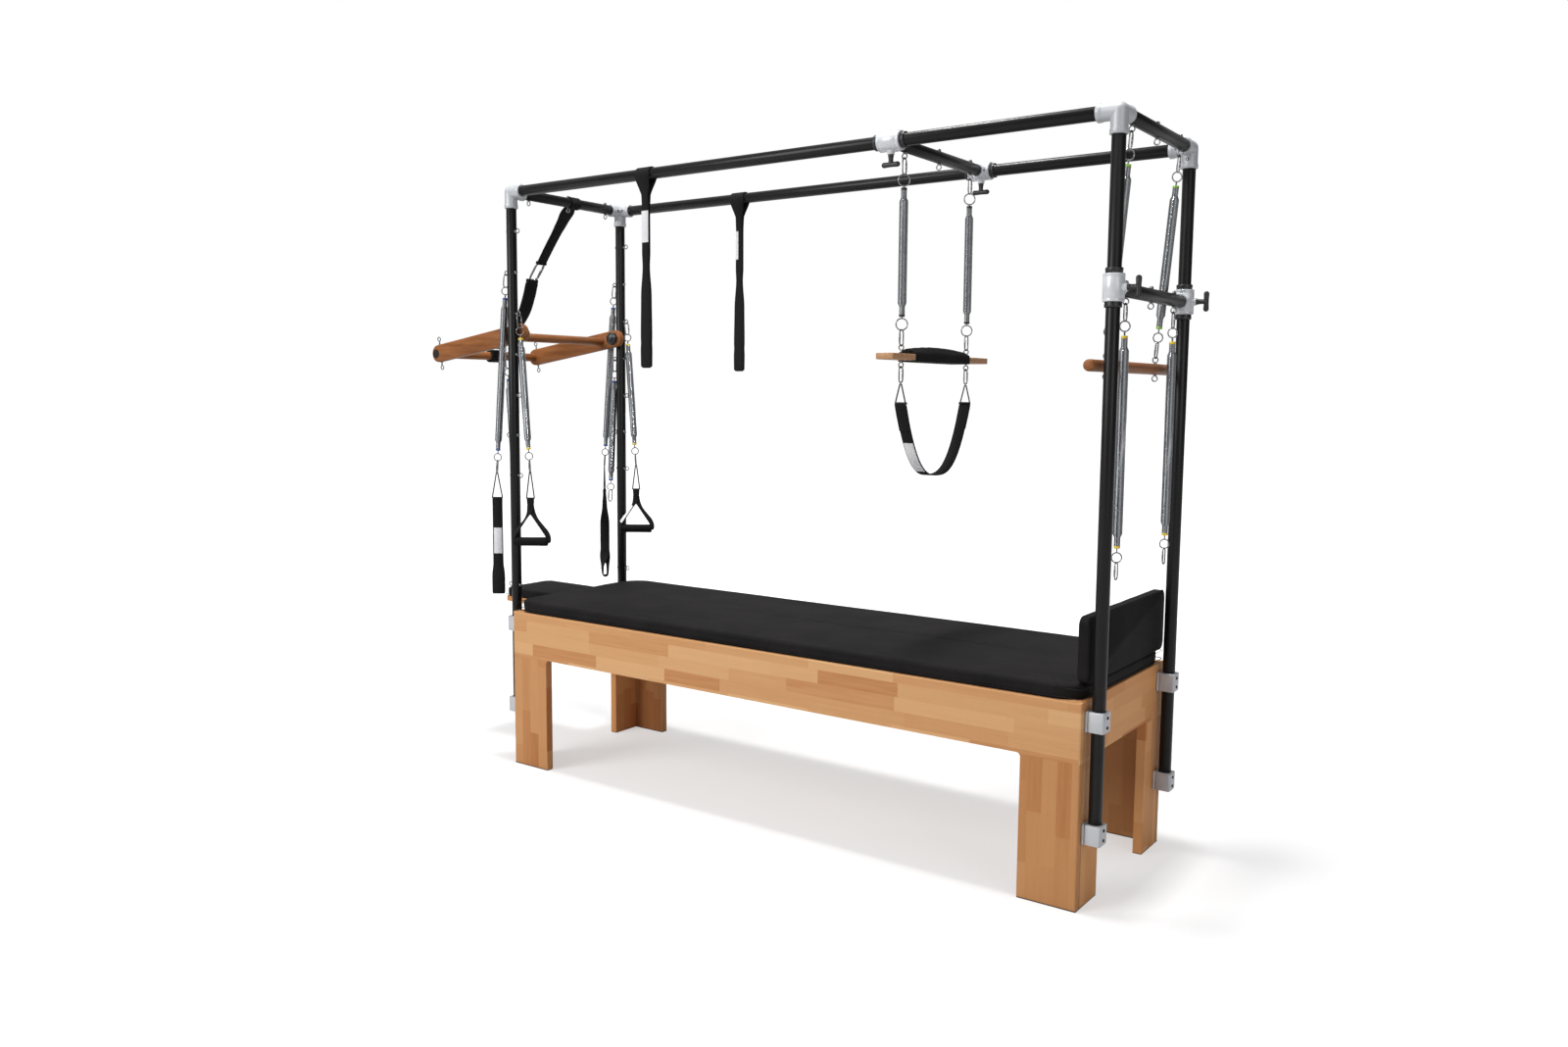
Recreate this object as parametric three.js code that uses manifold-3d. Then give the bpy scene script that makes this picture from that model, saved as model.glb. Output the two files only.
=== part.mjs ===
// Pilates trapeze table: a padded wooden bench under a canopy of steel tubes.
// Millimetres. +X runs toward the end with the upright pad, +Y toward the far side, +Z up.
// Origin: on the floor, under the middle of the whole table's box.
import * as THREE from 'three';
import { mergeVertices } from 'three/addons/utils/BufferGeometryUtils.js';
import Module from 'manifold-3d';

const wasm = await Module();
wasm.setup();

// Clearances and overruns
const clearance = 0.3;
const overrun = 5;
const weldReach = 1;
const mergeReach = 0.001;
const quarterTurn = Math.PI / 2;

// Bench of wooden panels
const benchLength = 2270;
const benchWidth = 679;
const benchHeight = 591;
const panelThickness = 28;
const sideLegWidth = 177;
const sideRailDepth = 169;
const endLegWidth = 150;
const endRailDepth = 166;
const legOpeningRadius = 12;
const panelEdgeRadius = 5;
const deckThickness = 19;

// Upholstery
const matThickness = 43;
const matCrown = 6;
const matInset = 4;
const matDrawIn = 3;
const matEdgeRadius = 9;
const matCornerRadius = 16;
const headPadWidth = 620;
const headPadHeight = 188;
const headPadThickness = 38;
const headPadOverhang = 3;
const headPadCrown = 4;
const cushionCornerSteps = 2;
const cushionInsetShares = [0.12, 0.35, 0.7];

// Extension shelf at the left end
const shelfReach = 295;
const shelfWidth = 244;
const shelfCornerRadius = 22;
const shelfPadThickness = 36;
const shelfPadInset = 2;
const shelfPadCrown = 3;

// Canopy tubes
const tubeDiameter = 38;
const tubeWall = 2.5;
const postStandOff = 30;
const canopyWidth = 585;
const canopyHeight = 2161;
const tubeSides = 12;
const boreSides = 8;

// Brackets that clamp the posts to the bench ends
const bracketHeight = 57;
const bracketWidth = 54;
const bracketReach = 25;
const bracketCornerRadius = 5;
const upperBracketHeight = 536;
const lowerBracketHeight = 219;

// Cast corner fittings
const fittingWall = 4.5;
const fittingRimWall = 6;
const fittingRimLength = 12;
const fittingReach = 60;
const tubeEndFromCorner = 23;

// Eyebolts
const eyeRadius = 8;
const eyeWire = 2;
const wireSides = 3;
const wireFlatShare = Math.cos(Math.PI / wireSides);
const eyeSteps = 6;
const linkSteps = 6;
const boltRadius = 3;
const boltSides = 4;
const eyeStandOffPost = 14;
const eyeStandOffTube = 11;
const eyeReachBoard = 15;
const eyeReachTrapeze = 19;
const eyeOuterFirst = 1866;
const eyeSpacing = 152;
const lowEyeHeight = 685;
const crossEyeFromPost = 86.5;
const springFromPost = 92.5;
const trapezeFromPost = 79.5;

// Snap links, spring rings and springs
const linkLength = 53;
const linkWidth = 26;
const linkWire = 2.2;
const hookGap = 0.2;
const swingGap = 0.7;
const joinDepth = 1;
const ringRadius = 18;
const ringWire = 2;
const ringSteps = 8;
const ringTurn = Math.PI / 4;
const collarRadius = 8;
const collarHeight = 16;
const collarSides = 6;
const springRadius = 13;
const springWall = 3;
const springNeckRadius = 7;
const springNeckLength = 14;
const springShoulder = 24;
const springGap = 1.6;
const shortTurns = 5;
const longTurns = 6;
const springStepsPerTurn = 8;
const springFirstStep = 4;
const springEndPitch = 30;
const springBulge = 0.7;
const springWireRadius = 1.3;
const springTangShare = 0.3;
const shortSpring = { length: 393, turns: shortTurns };
const longSpring = { length: 556, turns: longTurns };
const trapezeSpring = { length: 358, turns: shortTurns };

// Slider on the top rails and slide bar on the right posts
const sliderPlace = 476;
const slideBarHeight = 1707;
const sleeveWall = 9.5;
const sleeveLength = 74;
const bushingWall = 4;
const bushingLength = 104;
const bushingGap = 0.5;
const bossRadius = 11;
const bossHeight = 9;
const knobScrewRadius = 5;
const knobReach = 67;
const knobBarLength = 61;
const knobBarRadius = 8;
const knobNeckRadius = 7;
const knobSides = 6;

// Push-through bar
const pivotHeight = 1643;
const armTilt = THREE.MathUtils.degToRad(8.5);
const armThickness = 25;
const armDepth = 68;
const armGapToPost = 2;
const armLength = 510;
const armTail = 40;
const handleFromPivot = 485;
const handleDiameter = 34;
const stiffenerFromPivot = 71;
const stiffenerDiameter = 33;
const armEyeFromPivot = 472;
const armEyeReach = 23;
const gripKnobDiameter = 50;
const gripKnobThickness = 17;
const gripKnobCap = 9;
const gripKnobSides = 8;
const pivotBoltRadius = 6;

// Trapeze board, its cover and its sling
const boardLength = 625;
const boardWidth = 62;
const boardThickness = 19;
const boardCornerRadius = 4;
const coverFromEye = 35;
const coverWall = 4;
const coverCrown = 13;
const slingWidth = 40;
const slingDepth = 227;
const slingCurvePower = 2.2;
const slingSteps = 10;
const webbing = 4;
const triangleWidth = 46;
const triangleHeight = 66;
const triangleTop = 9;
const triangleWire = 4;

// Roll-down bar
const rollDownLength = 660;
const rollDownDiameter = 33;
const rollDownEyeReach = 28;
const springRestGap = 2;

// Springs, handles and loops on the left posts
const outerLean = THREE.MathUtils.degToRad(5.3);
const farOuterLean = THREE.MathUtils.degToRad(5);
const innerLean = THREE.MathUtils.degToRad(4.8);
const sidewaysLean = THREE.MathUtils.degToRad(3.4);
const handleTurn = THREE.MathUtils.degToRad(35.8);
const handleRingHeight = 108;
const handleRingWidth = 40;
const handleNeckLength = 44;
const gripWidth = 128;
const gripRadius = 17;
const gripDrop = 262;
const strapWidth = 27;
const loopRingHeight = 106;
const loopRingWidth = 50;
const loopWidth = 38;
const loopLength = 370;
const loopEyeLength = 90;
const loopEyeWidth = 26;

// Hanging straps on the rails and the safety strap
const hangStrapNear = -490;
const hangStrapFar = -540;
const hangStrapDrop = 654;
const hangStrapThickness = 12;
const hangStrapWall = 3.5;
const hangStrapTopWidth = 66;
const hangStrapNarrow = 27;
const hangStrapWide = 44;
const hangStrapNarrowDrop = 270;
const hangStrapWideDrop = 435;
const safetyOffset = 26;
const safetyWidth = 38;
const safetyPadWidth = 50;
const safetyThickness = 3;
const safetyPadThickness = 9;
const safetySteps = 6;
const safetyTopShares = [[0, 0], [0.21, 0.22], [0.39, 0.4]];
const safetyPadShares = [[0.39, 0.4], [0.47, 0.53], [0.56, 0.69], [0.76, 0.84], [1, 1]];

// Places worked out from the sizes above
const benchX = benchLength / 2;
const benchY = benchWidth / 2;
const postX = benchX + postStandOff;
const postY = canopyWidth / 2;
const tubeRadius = tubeDiameter / 2;
const boreRadius = tubeRadius - tubeWall;
const fittingRadius = tubeRadius + fittingWall;
const fittingRimRadius = tubeRadius + fittingRimWall;
const bushingBore = tubeRadius + bushingGap;
const bushingRadius = bushingBore + bushingWall;
const sleeveRadius = bushingBore + sleeveWall;
const eyeReachPost = tubeRadius + eyeStandOffPost;
const eyeReachTube = tubeRadius + eyeStandOffTube;
const crossEyeOffset = postY - crossEyeFromPost;
const springOffset = postY - springFromPost;
const trapezeOffset = postY - trapezeFromPost;
const coverLength = 2 * (trapezeOffset - coverFromEye);
const deckTop = benchHeight;
const matBottom = deckTop + clearance;
const matTop = matBottom + matThickness;
const railLength = 2 * (postX - tubeEndFromCorner);
const crossLength = 2 * (postY - tubeEndFromCorner);
const postFoot = lowerBracketHeight - bracketHeight / 2;
const postLength = canopyHeight - tubeEndFromCorner - postFoot;

// Looks
const wood = { color: 0xd9a876, roughness: 0.5, metalness: 0 };
const darkWood = { color: 0xa8663a, roughness: 0.5, metalness: 0 };
const black = { color: 0x17181a, roughness: 0.55, metalness: 0 };
const blackPaint = { color: 0x1c1d20, roughness: 0.35, metalness: 0.3 };
const castGrey = { color: 0xa9adb2, roughness: 0.5, metalness: 0.6 };
const greyPaint = { color: 0xd5d8dc, roughness: 0.35, metalness: 0.1 };
const steel = { color: 0xc2c5c8, roughness: 0.25, metalness: 1 };
const webbingBlack = { color: 0x1b1b1d, roughness: 0.9, metalness: 0 };

// Solids
function solid(geometry) {
  const bare = new THREE.BufferGeometry();
  bare.setAttribute('position', geometry.getAttribute('position'));
  bare.setIndex(geometry.getIndex());
  const merged = mergeVertices(bare, mergeReach);
  const index = merged.getIndex().array;
  const kept = [];
  for (let i = 0; i < index.length; i += 3) {
    const corner = [index[i], index[i + 1], index[i + 2]];
    if (new Set(corner).size === 3) kept.push(...corner);
  }
  const vertProperties = new Float32Array(merged.getAttribute('position').array);
  const mesh = new wasm.Mesh({ numProp: 3, vertProperties, triVerts: new Uint32Array(kept) });
  return new wasm.Manifold(mesh);
}

function join(solids) {
  return solids.reduce((whole, next) => whole.add(next));
}

function cut(body, tools) {
  return tools.reduce((rest, tool) => rest.subtract(tool), body);
}

// Basic geometries with their axis along Z, starting at zero
function rod(radius, length, sides = tubeSides) {
  const geometry = new THREE.CylinderGeometry(radius, radius, length, sides);
  return geometry.rotateX(quarterTurn).translate(0, 0, length / 2);
}

function turned(profile, sides = tubeSides) {
  const points = profile.map(([radius, height]) => new THREE.Vector2(radius, height));
  return new THREE.LatheGeometry(points, sides).rotateX(quarterTurn);
}

function tube(radius, bore, length, sides = tubeSides) {
  return turned([[bore, 0], [radius, 0], [radius, length], [bore, length], [bore, 0]], sides);
}

function alongX(geometry) {
  return geometry.rotateY(quarterTurn);
}

function alongY(geometry) {
  return geometry.rotateX(-quarterTurn);
}

function centredX(geometry, length) {
  return alongX(geometry).translate(-length / 2, 0, 0);
}

function centredY(geometry, length) {
  return alongY(geometry).translate(0, -length / 2, 0);
}

function roomFor(radius, sides) {
  return (radius + clearance) / Math.cos(Math.PI / sides);
}

function outline(points) {
  return new THREE.Shape(points.map(([x, y]) => new THREE.Vector2(x, y)));
}

function plate(shape, thickness, segments = 4) {
  return new THREE.ExtrudeGeometry(shape, {
    depth: thickness, bevelEnabled: false, curveSegments: segments,
  });
}

function roundedPlate(shape, thickness, radius, segments = 4) {
  const geometry = new THREE.ExtrudeGeometry(shape, {
    depth: thickness - 2 * radius,
    bevelEnabled: true,
    bevelThickness: radius,
    bevelSize: radius,
    bevelOffset: -radius,
    bevelSegments: 2,
    curveSegments: segments,
  });
  return geometry.translate(0, 0, radius);
}

function roundedRectangle(width, height, radius) {
  const shape = new THREE.Shape();
  const x = width / 2;
  const y = height / 2;
  shape.moveTo(-x + radius, -y);
  shape.lineTo(x - radius, -y);
  shape.absarc(x - radius, -y + radius, radius, -quarterTurn, 0, false);
  shape.lineTo(x, y - radius);
  shape.absarc(x - radius, y - radius, radius, 0, quarterTurn, false);
  shape.lineTo(-x + radius, y);
  shape.absarc(-x + radius, y - radius, radius, quarterTurn, 2 * quarterTurn, false);
  shape.lineTo(-x, -y + radius);
  shape.absarc(-x + radius, -y + radius, radius, 2 * quarterTurn, 3 * quarterTurn, false);
  return shape;
}

// Upright plate: an outline drawn in X and Z, with its thickness along +Y
function upright(geometry, thickness) {
  return geometry.rotateX(quarterTurn).translate(0, thickness, 0);
}

// Wire ring in the XZ plane, its centre at the origin
function wireRing(radius, wire, steps) {
  return new THREE.TorusGeometry(radius, wire, wireSides, steps).rotateX(quarterTurn);
}

// Snap link in the YZ plane, its upper bar at the origin and its lower bar below it
function snapLink() {
  const radius = linkWidth / 2 - linkWire;
  const geometry = new THREE.TorusGeometry(radius, linkWire, wireSides, linkSteps);
  const stretch = linkBarDrop / 2 - radius * Math.cos(Math.PI / linkSteps);
  const places = geometry.getAttribute('position');
  for (let i = 0; i < places.count; i += 1) {
    const height = places.getY(i);
    const way = Math.abs(height) < mergeReach ? 0 : Math.sign(height);
    places.setY(i, height + way * stretch);
  }
  geometry.rotateX(quarterTurn).rotateZ(quarterTurn);
  return geometry.translate(0, 0, -linkBarDrop / 2);
}

const linkBarDrop = linkLength - 2 * linkWire;
const eyeInside = eyeRadius * Math.cos(Math.PI / eyeSteps) - eyeWire * wireFlatShare;
const hookDrop = eyeInside - linkWire * wireFlatShare - hookGap;
const ringJoin = (linkWire + ringWire) * wireFlatShare - joinDepth;
const ringFromEye = hookDrop + linkBarDrop - ringJoin + ringRadius;
const collarFromEye = ringFromEye + ringRadius;
const springFromEye = collarFromEye + collarHeight;

function lowerRingFromEye(spring) {
  return springFromEye + spring.length + collarHeight + ringRadius;
}

function lowerBarFromEye(spring) {
  return lowerRingFromEye(spring) + ringRadius - ringJoin + linkBarDrop;
}

function lowerEyeFromEye(spring) {
  return lowerBarFromEye(spring) + hookDrop;
}

// Eyebolt: its ring in the XZ plane at the given distance along -X, from a face at distance face
function eyebolt(reach, face) {
  const ring = solid(wireRing(eyeRadius, eyeWire, eyeSteps).translate(-reach, 0, 0));
  const shank = rod(boltRadius, reach - eyeRadius - face + weldReach, boltSides);
  alongX(shank).translate(-reach + eyeRadius, 0, 0);
  return ring.add(solid(shank));
}

// Two eyes on one bolt: above and below a part of the given half depth
function eyePair(reach, half) {
  const lower = eyebolt(half + reach, half).rotate([0, -90, 0]);
  return lower.add(lower.rotate([180, 0, 0]));
}

// Spring: one flat-wound coil, its turns drawn tight at both ends
function edgeHeight(turn, { length, turns }) {
  const last = turns - 1;
  if (turn <= 1) return springEndPitch * turn;
  if (turn >= last) return length - springEndPitch * (turns - turn);
  const pitch = (length - 2 * springEndPitch) / (last - 1);
  return springEndPitch + pitch * (turn - 1);
}

function coilRadius(height, { length }) {
  const fromEnd = Math.min(height, length - height);
  const share = THREE.MathUtils.clamp((fromEnd - springNeckLength) / springShoulder, 0, 1);
  return springNeckRadius + (springRadius - springNeckRadius) * share;
}

function coilSection(step, spring) {
  const turn = step / springStepsPerTurn;
  const low = turn <= 1 ? 0 : edgeHeight(turn - 1, spring) + springGap / 2;
  const high = turn >= spring.turns ? spring.length : edgeHeight(turn, spring) - springGap / 2;
  const middle = (low + high) / 2;
  return [
    [coilRadius(low, spring) - springBulge, low],
    [coilRadius(middle, spring), middle],
    [coilRadius(high, spring) - springBulge, high],
    [coilRadius(high, spring) - springWall, high],
    [coilRadius(low, spring) - springWall, low],
  ];
}

function coilPoints(spring) {
  const lastStep = (spring.turns + 1) * springStepsPerTurn - springFirstStep;
  const sections = [];
  for (let step = springFirstStep; step <= lastStep; step += 1) {
    const angle = (2 * Math.PI * step) / springStepsPerTurn;
    sections.push(coilSection(step, spring).map(([radius, height]) => new THREE.Vector3(
      radius * Math.cos(angle), radius * Math.sin(angle), height,
    )));
  }
  return sections;
}

function coil(spring) {
  const sections = coilPoints(spring);
  const sides = sections[0].length;
  const index = [];
  for (let i = 0; i < sections.length - 1; i += 1) {
    for (let j = 0; j < sides; j += 1) {
      const a = i * sides + j;
      const b = i * sides + ((j + 1) % sides);
      index.push(a, a + sides, b, b, a + sides, b + sides);
    }
  }
  const last = (sections.length - 1) * sides;
  for (let j = 1; j < sides - 1; j += 1) {
    index.push(0, j, j + 1);
    index.push(last, last + j + 1, last + j);
  }
  const geometry = new THREE.BufferGeometry().setFromPoints(sections.flat());
  geometry.setIndex(index);
  return geometry;
}

// Least gap between neighbouring turns, measured from the corners of each edge to the next turn
function leastCoilGap(spring) {
  const sections = coilPoints(spring);
  let least = Infinity;
  for (let i = 0; i + springStepsPerTurn + 1 < sections.length; i += 1) {
    for (const [upper, lower] of [[2, 0], [3, 4]]) {
      const point = sections[i][upper];
      for (const next of [-1, 0]) {
        const from = sections[i + springStepsPerTurn + next][lower];
        const to = sections[i + springStepsPerTurn + next + 1][lower];
        const nearest = new THREE.Vector3();
        new THREE.Line3(from, to).closestPointToPoint(point, true, nearest);
        least = Math.min(least, nearest.distanceTo(point));
      }
    }
  }
  return least;
}

// Collar above the coil's end, with the end of the wire running up into it
function collar() {
  const body = rod(collarRadius, collarHeight - clearance, collarSides).translate(0, 0, clearance);
  const wireLength = 2 * springWall + clearance;
  const wireRadius = springNeckRadius - springWall / 2 - springBulge;
  const wire = rod(springWireRadius, wireLength, boltSides).translate(wireRadius, 0, -springWall);
  return solid(body).add(solid(wire.rotateZ(2 * Math.PI * springTangShare)));
}

// Whole spring hanging from an eye at the origin, with a snap link at both ends. The lower link is
// turned about the spring to face the ring that hangs on it
function hangingSpring(spring, lowerTurn = 0) {
  const coilBottom = -springFromEye - spring.length;
  const ring = wireRing(ringRadius, ringWire, ringSteps).rotateZ(ringTurn);
  return join([
    solid(coil(spring)).translate([0, 0, coilBottom]),
    collar().translate([0, 0, -springFromEye]),
    collar().rotate([180, 0, 0]).translate([0, 0, coilBottom]),
    solid(ring).translate([0, 0, -ringFromEye]),
    solid(ring).translate([0, 0, -lowerRingFromEye(spring)]),
    solid(snapLink()).translate([0, 0, -hookDrop]),
    solid(snapLink().rotateZ(lowerTurn)).translate([0, 0, linkBarDrop - lowerBarFromEye(spring)]),
  ]);
}

// Scene graph
const table = new THREE.Group();

function toGeometry(body) {
  const { vertProperties, triVerts } = body.getMesh();
  const geometry = new THREE.BufferGeometry();
  geometry.setAttribute('position', new THREE.BufferAttribute(vertProperties, 3));
  geometry.setIndex(new THREE.BufferAttribute(triVerts, 1));
  const flat = geometry.toNonIndexed();
  flat.computeVertexNormals();
  return flat;
}

function piece(name, body, look, parent = table) {
  const mesh = new THREE.Mesh(toGeometry(body), new THREE.MeshStandardMaterial(look));
  mesh.name = name;
  parent.add(mesh);
  return mesh;
}

function groupAt(x, y, z, parent = table) {
  const group = new THREE.Group();
  group.position.set(x, y, z);
  parent.add(group);
  return group;
}

const sidesOfTable = [['near', -1], ['far', 1]];
const endsOfTable = [['left', -1], ['right', 1]];

// Bench
function legOpening(halfWidth, height) {
  const shape = new THREE.Shape();
  const inner = halfWidth - legOpeningRadius;
  shape.moveTo(-halfWidth, -overrun);
  shape.lineTo(halfWidth, -overrun);
  shape.lineTo(halfWidth, height - legOpeningRadius);
  shape.absarc(inner, height - legOpeningRadius, legOpeningRadius, 0, quarterTurn, false);
  shape.lineTo(-inner, height);
  shape.absarc(-inner, height - legOpeningRadius, legOpeningRadius, quarterTurn, Math.PI, false);
  return shape;
}

function sidePanel() {
  const bodyShape = outline([
    [-benchX, 0], [benchX, 0], [benchX, benchHeight], [-benchX, benchHeight],
  ]);
  const body = roundedPlate(bodyShape, panelThickness, panelEdgeRadius);
  const opening = legOpening(benchX - sideLegWidth, benchHeight - sideRailDepth);
  const tool = plate(opening, panelThickness + 2 * overrun, 3).translate(0, 0, -overrun);
  return solid(upright(body, panelThickness)).subtract(
    solid(upright(tool, panelThickness)),
  );
}

const endHalfWidth = benchY - panelThickness - clearance;

function endPanel(hasNotch) {
  const bodyShape = outline([
    [-endHalfWidth, 0], [endHalfWidth, 0],
    [endHalfWidth, benchHeight], [-endHalfWidth, benchHeight],
  ]);
  const body = solid(upright(plate(bodyShape, panelThickness), panelThickness));
  const opening = legOpening(benchY - endLegWidth, benchHeight - endRailDepth);
  const openingTool = plate(opening, panelThickness + 2 * overrun, 3).translate(0, 0, -overrun);
  const tools = [solid(upright(openingTool, panelThickness))];
  if (hasNotch) {
    const notch = new THREE.BoxGeometry(
      shelfWidth + 2 * clearance, panelThickness + 2 * overrun, deckThickness + overrun,
    );
    notch.translate(0, panelThickness / 2, deckTop - deckThickness - clearance
      + (deckThickness + overrun) / 2);
    tools.push(solid(notch));
  }
  return cut(body, tools);
}

for (const [side, way] of sidesOfTable) {
  const panel = piece(`side_panel_${side}`, sidePanel(), wood);
  panel.position.y = way * (benchY - panelThickness / 2) - panelThickness / 2;
}

for (const [end, way] of endsOfTable) {
  const panel = piece(`end_panel_${end}`, endPanel(way < 0), wood);
  panel.rotation.z = quarterTurn;
  panel.position.x = way * (benchX - panelThickness / 2) + panelThickness / 2;
}

const deckLength = benchLength - 2 * (panelThickness + clearance);
const deck = new THREE.BoxGeometry(deckLength, 2 * endHalfWidth, deckThickness);
const deckPiece = piece('top_deck', solid(deck), wood);
deckPiece.position.z = deckTop - deckThickness / 2;

// Cushions: rings of one rounded outline, drawn in at the foot and rising to a crown
function cushionRing(halfLength, halfWidth, radius, height) {
  const points = [];
  const cornerWays = [[1, 1], [-1, 1], [-1, -1], [1, -1]];
  cornerWays.forEach(([wayX, wayY], corner) => {
    for (let step = 0; step <= cushionCornerSteps; step += 1) {
      const angle = quarterTurn * (corner + step / cushionCornerSteps);
      points.push(new THREE.Vector3(
        wayX * (halfLength - radius) + radius * Math.cos(angle),
        wayY * (halfWidth - radius) + radius * Math.sin(angle),
        height,
      ));
    }
  });
  return points;
}

function cushion(length, width, thickness, crown, cornerRadius, edgeRadius, drawIn) {
  const halfLength = length / 2;
  const halfWidth = width / 2;
  const levels = [
    [drawIn, 0], [0, thickness / 3], [0, thickness - edgeRadius],
    [edgeRadius / 3, thickness - edgeRadius / 3], [edgeRadius, thickness],
  ];
  const reach = Math.min(halfLength, halfWidth) - edgeRadius;
  for (const share of cushionInsetShares) {
    const inset = edgeRadius + reach * share;
    levels.push([inset, thickness + crown * (1 - (1 - share) ** 2)]);
  }
  const rings = levels.map(([inset, height]) => cushionRing(
    halfLength - inset, halfWidth - inset,
    Math.max(cornerRadius - inset, (reach + edgeRadius - inset) / 4), height,
  ));
  const count = rings[0].length;
  const points = rings.flat();
  const index = [];
  for (let ring = 0; ring < rings.length - 1; ring += 1) {
    for (let j = 0; j < count; j += 1) {
      const a = ring * count + j;
      const b = ring * count + ((j + 1) % count);
      index.push(a, b, a + count, b, b + count, a + count);
    }
  }
  const bottom = points.push(new THREE.Vector3(0, 0, 0)) - 1;
  const top = points.push(new THREE.Vector3(0, 0, thickness + crown)) - 1;
  const lastRing = (rings.length - 1) * count;
  for (let j = 0; j < count; j += 1) {
    index.push(bottom, (j + 1) % count, j);
    index.push(top, lastRing + j, lastRing + ((j + 1) % count));
  }
  const geometry = new THREE.BufferGeometry().setFromPoints(points);
  geometry.setIndex(index);
  return geometry;
}

const mat = cushion(
  benchLength - 2 * matInset, benchWidth - 2 * matInset, matThickness, matCrown,
  matCornerRadius, matEdgeRadius, matDrawIn,
);
const matPiece = piece('mat', solid(mat), black);
matPiece.position.z = matBottom;

const headPad = cushion(
  headPadHeight, headPadWidth, headPadThickness - headPadCrown, headPadCrown,
  matCornerRadius, matEdgeRadius, matDrawIn,
);
const headPadPiece = piece('end_block', solid(headPad), black);
headPadPiece.rotation.y = -quarterTurn;
const headPadInset = headPadThickness - headPadOverhang - matInset;
const matReach = benchY - matInset - matEdgeRadius;
const firstRise = matCrown * (1 - (1 - cushionInsetShares[0]) ** 2);
const matRise = firstRise * (headPadInset - matEdgeRadius) / (matReach * cushionInsetShares[0]);
const headPadBottom = matTop + matRise + clearance;
headPadPiece.position.set(benchX + headPadOverhang, 0, headPadBottom + headPadHeight / 2);

// Extension shelf, its tongue lying in the notch of the left end panel
const shelfInner = -deckLength / 2 - clearance;
const shelfOuter = -benchX - shelfReach;
const shelfLength = shelfInner - shelfOuter;
const shelfShape = roundedRectangle(shelfLength, shelfWidth, shelfCornerRadius);
const shelf = piece('extension_board', solid(plate(shelfShape, deckThickness, 3)), wood);
shelf.position.set((shelfInner + shelfOuter) / 2, 0, deckTop - deckThickness);

const shelfPadOuter = shelfOuter + shelfPadInset;
const shelfPadInner = -benchX - clearance;
const shelfPadLength = shelfPadInner - shelfPadOuter;
const shelfPad = cushion(
  shelfPadLength, shelfWidth - 2 * shelfPadInset, shelfPadThickness, shelfPadCrown,
  matCornerRadius, matEdgeRadius, matDrawIn,
);
const shelfPadPiece = piece('extension_pad', solid(shelfPad), black);
shelfPadPiece.position.set((shelfPadInner + shelfPadOuter) / 2, 0, matBottom);

// Posts with their clamp brackets and eyebolts
function bracket() {
  const depth = postStandOff - clearance + bracketReach;
  const shape = roundedRectangle(depth, bracketWidth, bracketCornerRadius);
  const block = plate(shape, bracketHeight, 1);
  return block.translate(bracketReach - depth / 2, 0, -bracketHeight / 2);
}

const outwardHeights = [0, 2, 4].map((step) => eyeOuterFirst - step * eyeSpacing);
const inwardHeights = [-1, 1, 3, 5].map((step) => eyeOuterFirst - step * eyeSpacing);

function post(leftSide) {
  const parts = [solid(rod(tubeRadius, postLength).translate(0, 0, postFoot))];
  for (const height of [upperBracketHeight, lowerBracketHeight]) {
    parts.push(solid(bracket().translate(0, 0, height)));
  }
  if (leftSide !== 0) {
    // In this frame +X points away from the bench
    for (const height of outwardHeights) {
      parts.push(eyebolt(eyeReachPost, tubeRadius).rotate([0, 0, 180]).translate([0, 0, height]));
    }
    for (const height of inwardHeights) {
      parts.push(eyebolt(eyeReachPost, tubeRadius).translate([0, 0, height]));
    }
    const lowEye = eyebolt(eyeReachPost, tubeRadius);
    const placed = leftSide < 0 ? lowEye.rotate([0, 0, 180]) : lowEye;
    parts.push(placed.translate([0, 0, lowEyeHeight]));
  }
  const bore = rod(boreRadius, postLength + 2 * overrun, boreSides);
  return join(parts).subtract(solid(bore.translate(0, 0, postFoot - overrun)));
}

for (const [side, wayY] of sidesOfTable) {
  for (const [end, wayX] of endsOfTable) {
    const body = post(wayX < 0 ? wayY : 0);
    const mesh = piece(`post_${side}_${end}`, body, blackPaint);
    mesh.position.set(wayX * postX, wayY * postY, 0);
    if (wayX < 0) mesh.rotation.z = Math.PI;
  }
}

// Top rails
for (const [side, way] of sidesOfTable) {
  const rail = solid(centredX(tube(tubeRadius, boreRadius, railLength), railLength));
  piece(`rail_${side}`, rail, blackPaint).position.set(0, way * postY, canopyHeight);
}

// Tube across the canopy with its eyebolts turned about it by the given angle
function crossTube(length, eyePlaces, eyeTurn) {
  const parts = [solid(centredY(rod(tubeRadius, length), length))];
  for (const place of eyePlaces) {
    const eye = eyebolt(eyeReachTube, tubeRadius).rotate([0, eyeTurn, 0]);
    parts.push(eye.translate([0, place, 0]));
  }
  const boreLength = length + 2 * overrun;
  const bore = solid(centredY(rod(boreRadius, boreLength, boreSides), boreLength));
  return join(parts).subtract(bore);
}

for (const [end, way] of endsOfTable) {
  const offset = way < 0 ? crossEyeOffset : springOffset;
  const body = crossTube(crossLength, [-offset, 0, offset], -90);
  piece(`cross_tube_${end}`, body, blackPaint).position.set(way * postX, 0, canopyHeight);
}

// Corner fitting: three rimmed sockets meeting at right angles, opening toward -X, -Y and -Z
function fittingLeg() {
  const rimStart = fittingReach - fittingRimLength;
  return turned([
    [0, 0], [fittingRadius, 0], [fittingRadius, rimStart],
    [fittingRimRadius, fittingReach], [0, fittingReach],
  ]);
}

function fittingBore() {
  const depth = fittingReach - tubeEndFromCorner + clearance + overrun;
  const geometry = rod(tubeRadius + clearance, depth);
  return geometry.translate(0, 0, tubeEndFromCorner - clearance);
}

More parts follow.
